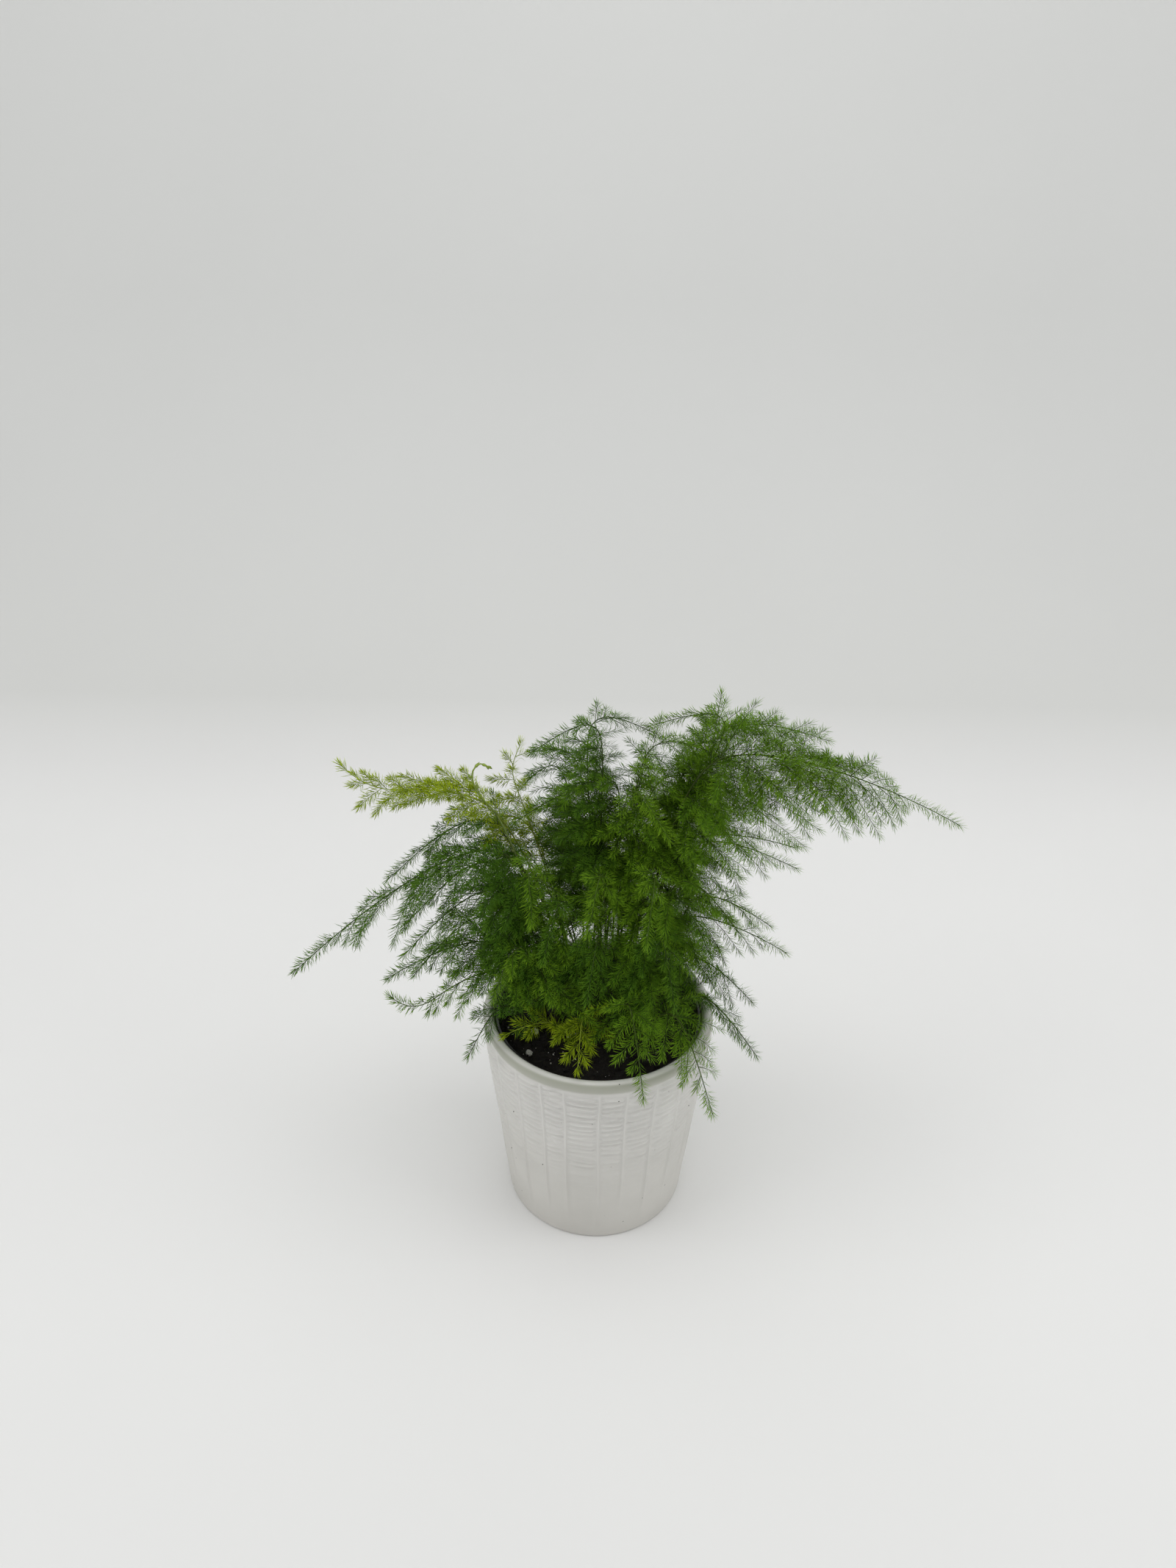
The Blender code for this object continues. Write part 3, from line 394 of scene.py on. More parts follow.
# Meshes and materials
def mesh_of(name, points, faces, finish, soft=True, marks=None):
    """A mesh object from arrays of points (in millimetres), triangles and map marks."""
    faces = np.asarray(faces, dtype=np.int32)
    mesh = bpy.data.meshes.new(name)
    mesh.vertices.add(len(points))
    mesh.vertices.foreach_set("co", (np.asarray(points) * MM).astype(np.float32).ravel())
    mesh.loops.add(faces.size)
    mesh.loops.foreach_set("vertex_index", faces.ravel())
    mesh.polygons.add(len(faces))
    mesh.polygons.foreach_set("loop_start", np.arange(0, faces.size, 3, dtype=np.int32))
    mesh.update(calc_edges=True)
    if marks is not None:
        layer = mesh.uv_layers.new(name=BAKE_MAP)
        layer.data.foreach_set("uv", np.asarray(marks, dtype=np.float32).ravel())
    mesh.polygons.foreach_set("use_smooth", np.full(len(faces), soft))
    mesh.materials.append(finish)
    return add_object(name, mesh)


def add_object(name, data):
    made = bpy.data.objects.new(name, data)
    bpy.context.collection.objects.link(made)
    return made


def place(piece, slot, *nodes):
    """Let a piece ride on the part's one body and stand for its nodes. slot, the name of its finish, is not
    used.
    """
    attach(piece, "root")
    if nodes:
        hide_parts(*nodes)


class Nodes:
    """A new material and short ways to add and link its nodes."""

    def __init__(self, name, roughness):
        self.material = bpy.data.materials.new(name)
        self.material.use_nodes = True
        self.tree = self.material.node_tree
        self.shader = self.tree.nodes["Principled BSDF"]
        self.shader.inputs["Roughness"].default_value = roughness

    def add(self, kind, **values):
        node = self.tree.nodes.new(kind)
        for key, value in values.items():
            setattr(node, key, value)
        return node

    def link(self, output, socket):
        self.tree.links.new(output, socket)

    def noise(self, scale, detail=4.0, roughness=0.55):
        node = self.add("ShaderNodeTexNoise")
        node.inputs["Scale"].default_value = scale
        node.inputs["Detail"].default_value = detail
        node.inputs["Roughness"].default_value = roughness
        self.link(self.place_in_object(), node.inputs["Vector"])
        return node.outputs["Fac"]

    def place_in_object(self):
        found = self.tree.nodes.get("Place") or self.add("ShaderNodeTexCoord", name="Place")
        return found.outputs["Object"]

    def ramp(self, value, stops):
        node = self.add("ShaderNodeValToRGB")
        elements = node.color_ramp.elements
        while len(elements) < len(stops):
            elements.new(0.5)
        for element, (position, colour) in zip(elements, stops):
            element.position = position
            element.color = (*colour, 1.0)
        self.link(value, node.inputs["Fac"])
        return node.outputs["Color"]

    def blend(self, factor, a, b, kind="MIX"):
        node = self.add("ShaderNodeMix", data_type="RGBA", blend_type=kind)
        for socket, value in ((node.inputs[0], factor), (node.inputs[6], a), (node.inputs[7], b)):
            if hasattr(value, "links"):
                self.link(value, socket)
            elif isinstance(value, tuple):
                socket.default_value = (*value, 1.0)
            else:
                socket.default_value = value
        return node.outputs[2]

    def level(self, value, low, high, to_low, to_high):
        node = self.add("ShaderNodeMapRange")
        for socket, number in zip(node.inputs[1:5], (low, high, to_low, to_high)):
            socket.default_value = number
        self.link(value, node.inputs[0])
        return node.outputs[0]

    def height(self, low, high):
        """0 at one height on the object and 1 at another, in metres."""
        split = self.add("ShaderNodeSeparateXYZ")
        self.link(self.place_in_object(), split.inputs["Vector"])
        return self.level(split.outputs["Z"], low, high, 0.0, 1.0)

    def bump(self, height, strength, distance):
        node = self.add("ShaderNodeBump")
        node.inputs["Strength"].default_value = strength
        node.inputs["Distance"].default_value = distance
        self.link(height, node.inputs["Height"])
        self.link(node.outputs["Normal"], self.shader.inputs["Normal"])


def foliage(tint):
    """Green of a tint, read from the map: across it from old to young growth, and up it first
    from a needle's root to its tip, then from the woody foot of a stem to its green end."""
    n = Nodes("foliage_" + tint, 0.55)
    colours = TINTS[tint]
    source = n.add("ShaderNodeUVMap", uv_map=BAKE_MAP)
    split = n.add("ShaderNodeSeparateXYZ")
    n.link(source.outputs["UV"], split.inputs["Vector"])
    up = split.outputs["Y"]
    bark = [(BARK_LOW - 0.02, colours.bark), (BARK_HIGH, colours.twig)]
    old = n.ramp(up, [(NEEDLE_LOW, colours.old_root), (NEEDLE_HIGH, colours.old_tip)] + bark)
    young = n.ramp(up, [(NEEDLE_LOW, colours.young_root), (NEEDLE_HIGH, colours.young_tip)] + bark)
    n.link(n.blend(split.outputs["X"], old, young), n.shader.inputs["Base Color"])
    n.shader.inputs["Specular IOR Level"].default_value = LEAF_SHINE
    return n.material


def iron_specks(n):
    """1 on small dots in a few of the cells that the pot's skin is divided into."""
    cells = n.add("ShaderNodeTexVoronoi", feature="F1")
    cells.inputs["Scale"].default_value = IRON_SCALE
    n.link(n.place_in_object(), cells.inputs["Vector"])
    dot = n.ramp(cells.outputs["Distance"], [(0.10, WHITE), (0.16, BLACK)])
    split = n.add("ShaderNodeSeparateColor")
    n.link(cells.outputs["Color"], split.inputs["Color"])
    chosen = n.ramp(split.outputs["Red"], [(1 - IRON_SHARE, BLACK), (1.005 - IRON_SHARE, WHITE)])
    return n.blend(1.0, dot, chosen, "MULTIPLY")


def ceramic():
    """White matt-satin glaze with a faint grey drift, painted shade that darkens it towards the foot,
    a grey-green band of painted shade and painted green reflection of the foliage round the lip, dark iron
    specks and a fine orange peel."""
    n = Nodes("white_ceramic", 0.46)
    drift = n.ramp(n.noise(26.0, 3.0), [(0.3, GLAZE[0]), (0.7, GLAZE[1])])
    height = n.height(0.0, POT_HEIGHT * MM)
    # The grey-green band round the lip: painted shade with a painted green reflection of the foliage
    lip_shade = n.ramp(height, [(LIP_SHADE_LOW - 0.008, BLACK), (LIP_SHADE_LOW + 0.006, (0.75, 0.75, 0.75)),
                           (LIP_SHADE_HIGH - 0.004, WHITE), (LIP_SHADE_HIGH + 0.003, BLACK)])
    # Painted shade: the glaze colour is made darker towards the foot
    down = n.ramp(height, [(0.0, (0.82, 0.81, 0.79)), (0.35, (0.88, 0.875, 0.86)), (0.75, WHITE)])
    glaze = n.blend(1.0, n.blend(lip_shade, drift, LIP_SHADE_COLOUR), down, "MULTIPLY")
    n.link(n.blend(iron_specks(n), glaze, IRON), n.shader.inputs["Base Color"])
    n.link(n.level(n.noise(90.0), 0.3, 0.7, 0.38, 0.54), n.shader.inputs["Roughness"])
    n.bump(n.noise(620.0, 3.0), 0.10, 0.0003)
    return n.material


def grainy(name, roughness, grain, stops, bumps, strength, depth):
    """A material whose colour and bumps follow fine noise."""
    n = Nodes(name, roughness)
    n.link(n.ramp(n.noise(*grain), stops), n.shader.inputs["Base Color"])
    n.bump(n.noise(*bumps), strength, depth)
    return n


def black_plastic():
    stops = [(0.45, (0.010, 0.010, 0.011)), (0.8, (0.034, 0.032, 0.029))]
    n = grainy("black_plastic", 0.34, (140.0, 6.0, 0.7), stops, (900.0, 2.0), 0.15, 0.0002)
    n.link(n.level(n.noise(300.0), 0.3, 0.7, 0.24, 0.46), n.shader.inputs["Roughness"])
    return n.material


def soil_stuff():
    stops = [(0.35, (0.004, 0.003, 0.002)), (0.55, (0.010, 0.007, 0.005)), (0.75, (0.030, 0.021, 0.013))]
    return grainy("soil", 0.95, (420.0, 6.0, 0.7), stops, (1500.0, 4.0), 0.8, 0.0006).material


def perlite_stuff():
    stops = [(0.32, (0.40, 0.38, 0.34)), (0.50, (0.74, 0.72, 0.68)), (0.8, (0.84, 0.83, 0.80))]
    return grainy("perlite", 0.9, (1500.0, 4.0), stops, (2200.0, 4.0), 0.6, 0.0005).material


def shoot_stuff():
    """Brown-green skin that turns pale green towards the top, with darker spots."""
    n = Nodes("shoot", 0.45)
    skin = n.ramp(n.height(0.105, 0.258), [(0.0, (0.055, 0.048, 0.022)), (0.55, (0.060, 0.066, 0.022)),
                                           (0.80, (0.130, 0.200, 0.030)), (1.0, (0.270, 0.380, 0.045))])
    spots = n.level(n.noise(900.0), 0.35, 0.7, 0.0, 0.35)
    n.link(n.blend(spots, skin, (0.10, 0.075, 0.035)), n.shader.inputs["Base Color"])
    return n.material


# Pot
def pot_radius(height):
    return mix(BASE_RADIUS, RIM_RADIUS - LIP_PROUD, height / LIP_START)


def pot_inner_radius(height):
    return mix(BASE_RADIUS - POT_WALL, OPENING_RADIUS, height / POT_HEIGHT)


def liner_radius(height):
    return pot_inner_radius(height) - LINER_PLAY


def soil_radius(height):
    return liner_radius(height) - LINER_WALL - GAP


def rib_angles(rng):
    """Where the ribs stand: nearly even round the pot."""
    period = 2 * math.pi / RIBS
    return period * np.arange(RIBS) + rng.uniform(-RIB_JITTER, RIB_JITTER, RIBS)


def pot_columns(ribs):
    """Angle of each mesh column, close together on the ribs, with its panel and its share of the
    way across that panel."""
    rows = []
    for panel, start in enumerate(ribs):
        end = ribs[(panel + 1) % RIBS] + (2 * math.pi if panel == RIBS - 1 else 0)
        first = start + math.radians(RIB_STEPS[-1])
        last = end + math.radians(RIB_STEPS[0])
        for step in RIB_STEPS:
            rows.append((start + math.radians(step), panel, step / RIB_STEPS[-1], True))
        for i in range(1, PANEL_STEPS):
            share = i / PANEL_STEPS
            rows.append((mix(first, last, share), panel, share, False))
    return rows


def bar_draws():
    """How far the bars of each panel are shifted down, and three draws from -1 to 1 for each bar."""
    rng = np.random.default_rng(SEED + 7)
    count = int(RELIEF_TOP / BAR_PITCH) + 3
    return rng.uniform(0, 1, RIBS), rng.uniform(-1, 1, (RIBS, count, 3))


def bar_field(heights, share, shift, draws):
    """Height of the bars in a column: short wavy ridges that step from one panel to the next."""
    down = (RELIEF_TOP - heights) / BAR_PITCH + shift
    index = np.clip(down.astype(int), 0, len(draws) - 1)
    phase, drift, width = draws[index].T
    swing = BAR_WAVE / BAR_PITCH * np.sin(BAR_SWING * share + phase * math.pi)
    off = down - down.astype(int) - (0.5 + swing + BAR_SHIFT * drift)
    half = BAR_HALF + BAR_HALF_DRIFT * width
    flank = np.where(off < 0, BAR_UPPER_FLANK * half, BAR_LOWER_FLANK * half)
    across = np.clip(1 - (off / flank) ** 2, 0, 1)
    ends = smooth(*BAR_ENDS, share) * smooth(*BAR_ENDS, 1 - share)
    gap = np.abs(share - 0.5 - BREAK_DRIFT * drift) < BREAK_HALF
    broken = 1 - BREAK_DEPTH * gap * (phase > BREAK_OVER)
    return across**RIDGE_POWER * ends * broken


def foot_profile():
    """The rounded edge at the foot, up to the outer wall."""
    turns = np.linspace(0, math.pi / 2, FOOT_STEPS + 1)[:-1]
    return [(BASE_RADIUS - FOOT_BEVEL * (1 - math.sin(a)), FOOT_BEVEL * (1 - math.cos(a)))
            for a in turns]


def lip_profile():
    """The rounded lip, from the outer wall over the top to the inner wall."""
    middle = RIM_RADIUS - LIP_HALF
    rise = POT_HEIGHT - LIP_MIDDLE
    rows = [(pot_radius(LIP_START - 0.9), LIP_START - 0.9), (pot_radius(LIP_START) + 0.1, LIP_START),
            (RIM_RADIUS - 0.35, LIP_START + 0.9), (RIM_RADIUS - 0.05, LIP_START + 1.9)]
    for i in range(LIP_STEPS + 1):
        a = math.pi * i / LIP_STEPS
        rows.append((middle + LIP_HALF * math.cos(a), LIP_MIDDLE + rise * math.sin(a) ** 0.9))
    return rows


def inner_profile():
    """Down the inner wall and in over the floor."""
    rows = [(pot_inner_radius(z), z) for z in INNER_LEVELS]
    return rows + [(pot_inner_radius(POT_FLOOR) - FLOOR_BEND, POT_FLOOR), (FLOOR_RING, POT_FLOOR)]


def wall_heights():
    """Heights of the mesh rows up the outer wall, closer together where the bars stand out."""
    return np.concatenate([np.arange(FOOT_BEVEL, FINE_ROWS_FROM, ROW_PITCH),
                           np.arange(FINE_ROWS_FROM, LIP_START - ROWS_STOP, FINE_ROW_PITCH)])


def rib_sways(rng, heights):
    """How far each rib wanders round the pot at each height. The last one is the first again."""
    phases = rng.uniform(0, 2 * math.pi, RIBS + 1)
    phases[-1] = phases[0]
    waves = np.sin(heights / RIB_SWAY_LENGTH + phases[:, None])
    return RIB_SWAY * waves * smooth(RELIEF_TOP, RIB_SWAY_TO, heights)


def build_pot(finish):
    rng = np.random.default_rng(SEED)
    columns = pot_columns(rib_angles(rng))
    heights = wall_heights()
    sways = rib_sways(rng, heights)
    rib_lows = RIB_LOW + rng.uniform(-RIB_LOW_DRIFT, RIB_LOW_DRIFT, RIBS)
    shifts, draws = bar_draws()
    foot = np.array(foot_profile())
    after = np.array(lip_profile() + inner_profile())
    fade_top = smooth(RELIEF_TOP + RELIEF_FADE[0], RELIEF_TOP + RELIEF_FADE[1], heights)
    points = []
    for angle, panel, share, on_rib in columns:
        if on_rib:
            low = rib_lows[panel]
            ridge = (1 - share * share) ** RIDGE_POWER
            proud = RIB_PROUD * ridge * smooth(low, RIB_FULL + low, heights)
            sway = sways[panel]
        else:
            bars = bar_field(heights, share, shifts[panel], draws[panel])
            proud = BAR_PROUD * bars * smooth(BAR_LOW, BAR_FULL, heights)
            sway = mix(sways[panel], sways[panel + 1], share)
        outer = pot_radius(heights) + proud * fade_top
        radii = np.concatenate([foot[:, 0], outer, after[:, 0]])
        levels = np.concatenate([foot[:, 1], heights, after[:, 1]])
        turn = angle + np.concatenate([np.zeros(len(foot)), sway, np.zeros(len(after))])
        points.append(np.stack([radii * np.cos(turn), radii * np.sin(turn), levels], axis=-1))
    made = mesh_of("pot_body", *lathe_mesh(np.array(points), 0.0, POT_FLOOR), finish)
    place(made, "white_ceramic", "outer_pot")


def lathe_mesh(columns, first_height, last_height):
    """Triangles of a closed turned body: columns of points side by side round the axis, closed
    at both ends by a point on the axis."""
    sides, rows = columns.shape[:2]
    number = np.arange(sides * rows).reshape(sides, rows)
    following = np.roll(number, -1, axis=0)
    a, b = number[:, :-1], following[:, :-1]
    c, d = following[:, 1:], number[:, 1:]
    faces = [np.stack([a, b, c], -1).reshape(-1, 3), np.stack([a, c, d], -1).reshape(-1, 3)]
    start, end = sides * rows, sides * rows + 1
    faces.append(np.stack([following[:, 0], number[:, 0], np.full(sides, start)], -1))
    faces.append(np.stack([number[:, -1], following[:, -1], np.full(sides, end)], -1))
    points = np.concatenate([columns.reshape(-1, 3), [(0, 0, first_height), (0, 0, last_height)]])
    return points, np.concatenate(faces)


def turned_columns(profile, sides):
    angles = 2 * math.pi * np.arange(sides) / sides
    radii, levels = np.array(profile).T
    return np.stack([np.cos(angles)[:, None] * radii, np.sin(angles)[:, None] * radii,
                     np.broadcast_to(levels, (sides, len(levels)))], axis=-1)


def build_liner(finish):
    """The grower's pot: thin wall, rolled top edge, drain holes in its floor."""
    low = POT_FLOOR + GAP
    edge = liner_radius(LINER_TOP)
    profile = [(liner_radius(low) - LINER_BEND, low), (liner_radius(low), low + LINER_BEND),
               (liner_radius(LINER_TOP - LINER_LIP), LINER_TOP - LINER_LIP)]
    profile += [(edge + out, LINER_TOP - below) for out, below in LINER_EDGE]
    profile.append((liner_radius(low) - LINER_WALL, low + LINER_FLOOR))
    points, faces = lathe_mesh(turned_columns(profile, LINER_SIDES), low, low + LINER_FLOOR)
    liner = mesh_of("liner_pot", points, faces, finish)
    for i in range(DRAIN_HOLES):
        cut_hole(liner, *polar(DRAIN_RING, 2 * math.pi * (i + 0.5) / DRAIN_HOLES), low)
    place(liner, "black_plastic", "grower_pot")


def cut_hole(target, x, y, low):
    """A round drain hole right through the floor."""
    bm = bmesh.new()
    spot = Matrix.Translation(Vector((x, y, low + LINER_FLOOR / 2)) * MM)
    bmesh.ops.create_cone(bm, cap_ends=True, segments=DRAIN_SIDES, radius1=DRAIN_RADIUS * MM,
                          radius2=DRAIN_RADIUS * MM, depth=(LINER_FLOOR + 2) * MM, matrix=spot)
    mesh = bpy.data.meshes.new("drain")
    bm.to_mesh(mesh)
    bm.free()
    cutter = add_object("drain", mesh)
    modifier = target.modifiers.new("drain", "BOOLEAN")
    modifier.operation = "DIFFERENCE"
    modifier.object = cutter
    bpy.context.view_layer.update()
    shape = target.evaluated_get(bpy.context.evaluated_depsgraph_get())
    target.data = bpy.data.meshes.new_from_object(shape)
    target.modifiers.clear()
    bpy.data.objects.remove(cutter, do_unlink=True)


# Soil
def soil_height(x, y):
    """The same low dome with soft lumps as the solid."""
    dome = SOIL_DOME * (1 - (np.hypot(x, y) / soil_radius(SOIL_TOP)) ** 2)
    lumps = np.sin(0.21 * x + 1.3) * np.sin(0.19 * y + 0.4) + 0.5 * np.sin(0.37 * (x - y))
    return SOIL_TOP + dome + SOIL_LUMP * lumps


def soil_grain(x, y):
    return sum(height * noise.noise(Vector((x * scale, y * scale, 3.7))) for height, scale in SOIL_GRAIN)


def build_soil(finish):
    low = POT_FLOOR + GAP + LINER_FLOOR + GAP
    edge = soil_radius(SOIL_TOP)
    columns = []
    for i in range(SOIL_SIDES):
        angle = 2 * math.pi * i / SOIL_SIDES
        rows = [(*polar(soil_radius(low), angle), low)]
        for k in range(SOIL_RINGS):
            x, y = polar(edge * (1 - k / SOIL_RINGS), angle)
            rows.append((x, y, soil_height(x, y) + soil_grain(x, y)))
        columns.append(rows)
    ground = lathe_mesh(np.array(columns), low, soil_height(0.0, 0.0))
    points, faces = joined([ground, scattered_crumbs(np.random.default_rng(SEED + 1), edge)])
    place(mesh_of("soil_bed", points, faces, finish, soft=False), "soil", "soil")


def joined(meshes):
    """The points and faces of several meshes as one."""
    starts = np.cumsum([0] + [len(points) for points, _ in meshes])
    faces = [faces + start for (_, faces), start in zip(meshes, starts)]
    return np.concatenate([points for points, _ in meshes]), np.concatenate(faces)


def rough_ball(rng, subdivisions, rough_share):
    """Points and faces of a small irregular ball of radius 1."""
    bm = bmesh.new()
    bmesh.ops.create_icosphere(bm, subdivisions=subdivisions, radius=1.0)
    points = np.array([v.co[:] for v in bm.verts])
    faces = np.array([[v.index for v in f.verts] for f in bm.faces])
    bm.free()
    drift = rng.uniform(-20, 20, 3)
    waves = np.array([noise.noise(Vector(p * 1.7 + drift)) for p in points])
    return points * (1 + rough_share * waves)[:, None], faces


def scattered_crumbs(rng, edge):
    """Crumbs of soil and bark, half sunk, thicker near the wall."""
    balls = [rough_ball(rng, 1, 0.7) for _ in range(CRUMB_SHAPES)]
    crumbs = []
    for i in range(CRUMBS):
        angle = rng.uniform(0, 2 * math.pi)
        out = (edge - CRUMB_WALL_ROOM) * math.sqrt(rng.uniform(0, 1)) ** 0.9
        x, y = polar(out, angle)
        size = CRUMB_SMALLEST + CRUMB_RANGE * rng.uniform(0, 1) ** 2.5
        stretch = rng.uniform(*CRUMB_STRETCH, 3) * size
        ball, faces = balls[i % CRUMB_SHAPES]
        turn = np.array(Matrix.Rotation(rng.uniform(0, 6.28), 3, Vector(rng.normal(size=3))))
        crumbs.append(((ball * stretch) @ turn.T + (x, y, soil_height(x, y) + 0.35 * size), faces))
    return joined(crumbs)


def build_perlite(finish):
    """The three large white grains, and tiny specks of the same scattered about."""
    rng = np.random.default_rng(SEED + 2)
    for number, (x, y, size) in enumerate(PERLITE, 1):
        points, faces = rough_ball(rng, 4, 0.5)
        points = points * size * PERLITE_SHAPE
        seat = soil_height(x, y) - PERLITE_SUNK + GAP
        points += (x, y, seat - points[:, 2].min())
        place(mesh_of(f"grain_{number}", points, faces, finish), "perlite", f"perlite_{number}")
    specks = []
    edge = soil_radius(SOIL_TOP) - SPECK_WALL_ROOM
    for _ in range(SPECKS):
        angle = rng.normal(SPECK_SIDE, SPECK_SIDE_SPREAD)
        out = edge * math.sqrt(rng.uniform(0.1, 1))
        x, y = polar(out, angle)
        size = SPECK_SMALLEST + SPECK_RANGE * rng.uniform(0, 1) ** 4
        ball, faces = rough_ball(rng, 1, 0.6)
        specks.append((ball * size + (x, y, soil_height(x, y) + SPECK_RISE), faces))
    place(mesh_of("grain_specks", *joined(specks), finish), "perlite")


# Stems and sprays
def across_of(f):
    """The level direction to the right of a frond, looking from its foot to its tip."""
    return unit(np.array((f.tip[1] - f.foot[1], f.foot[0] - f.tip[0], 0.0)))


def stem_line(f):
    """The stem's middle line: upright out of the soil, over the shoulder and out to the tip."""
    foot = np.array((*f.foot, SOIL_TOP - STEM_DEPTH + STEM_UPRIGHT))
    shoulder = np.array(f.shoulder, dtype=float)
    tip = np.array(f.tip, dtype=float)
    rise = np.array((0, 0, np.linalg.norm(shoulder - foot)))
    over = (tip - foot) * ARCH_HEADING
    droop = (tip - shoulder) * TIP_HEADING
    droop[2] -= TIP_DROOP * np.linalg.norm(tip - shoulder)
    t = 2 * np.arange(STEM_STEPS + 1) / STEM_STEPS
    half = STEM_STEPS // 2
    points = np.concatenate([hermite(foot, rise, shoulder, over, t[:half]),
                             hermite(shoulder, over, tip, droop, t[half:] - 1)])
    bend = STEM_BENDS.get(f.name, 0.0) * np.sin(math.pi * t / 2)
    points += across_of(f) * bend[:, None]
    points[:, 2] += f.flick * np.maximum(0.0, (t / 2 - FLICK_FROM) / (1 - FLICK_FROM)) ** 2
    return Line([(*f.foot, SOIL_TOP - STEM_DEPTH), *points])


def shoot_line():
    """The young shoot's middle line, hooked at the top."""
    knots = np.array(SHOOT_POINTS, dtype=float)
    knots = np.concatenate([[2 * knots[0] - knots[1]], knots, [2 * knots[-1] - knots[-2]]])
    points = [np.array((*SHOOT_POINTS[0][:2], SOIL_TOP - STEM_DEPTH))]
    for a, b, c, d in zip(knots, knots[1:], knots[2:], knots[3:]):
        points += list(hermite(b, (c - a) / 2, c, (d - b) / 2, np.arange(SHOOT_STEPS) / SHOOT_STEPS))
    points.append(knots[-2])
    total = len(points) - 1
    sway = np.array([math.sin(math.pi * max(0, i - 1) / (total - 1)) for i in range(total + 1)])
    return Line(np.array(points) + np.outer(sway, (0, SHOOT_BEND, 0)))


def frame(direction, across, roll):
    """The side and up directions of a limb, tilted by roll about its own direction."""
    side = unit(across - direction * (across @ direction))
    up = np.cross(side, direction)
    return turn_about(side, direction, roll), turn_about(up, direction, roll)


def side_profile(share):
    """Length of a side spray by its place along the frond."""
    return min(1.0, 0.3 + 2.2 * share) * (1 - share) ** 0.75 + 0.06


def upright_share(direction):
    """0 where a stem runs over in its arch, 1 where it stands upright."""
    return smooth(UPRIGHT_FROM, UPRIGHT_FULL, direction[2])


def spray_line(f, root, direction, side, up, length, lean, tilt):
    """The middle line of a side spray: out and forward, bending down under its weight."""
    upright = upright_share(direction)
    a = math.radians(mix(SPRAY_LEAN, UPRIGHT_LEAN, upright) + lean)
    out = side * math.cos(a) + direction * math.sin(a) + up * mix(SPRAY_LIFT, UPRIGHT_OUT, upright)
    out = unit(turn_about(out, direction, tilt))
    share = np.arange(SPRAY_STEPS + 1) / SPRAY_STEPS
    points = root + np.outer(share * length, out)
    points[:, 2] -= SPRAY_SAG * f.sag * length * share**SAG_POWER
    return Line(points)


def square_to(aim):
    """Two directions at right angles to each aim and to each other."""
    helper = np.where(np.abs(aim[:, 2:3]) < 0.8, (0.0, 0.0, 1.0), (1.0, 0.0, 0.0))
    e = unit(np.cross(aim, helper))
    return e, np.cross(aim, e)


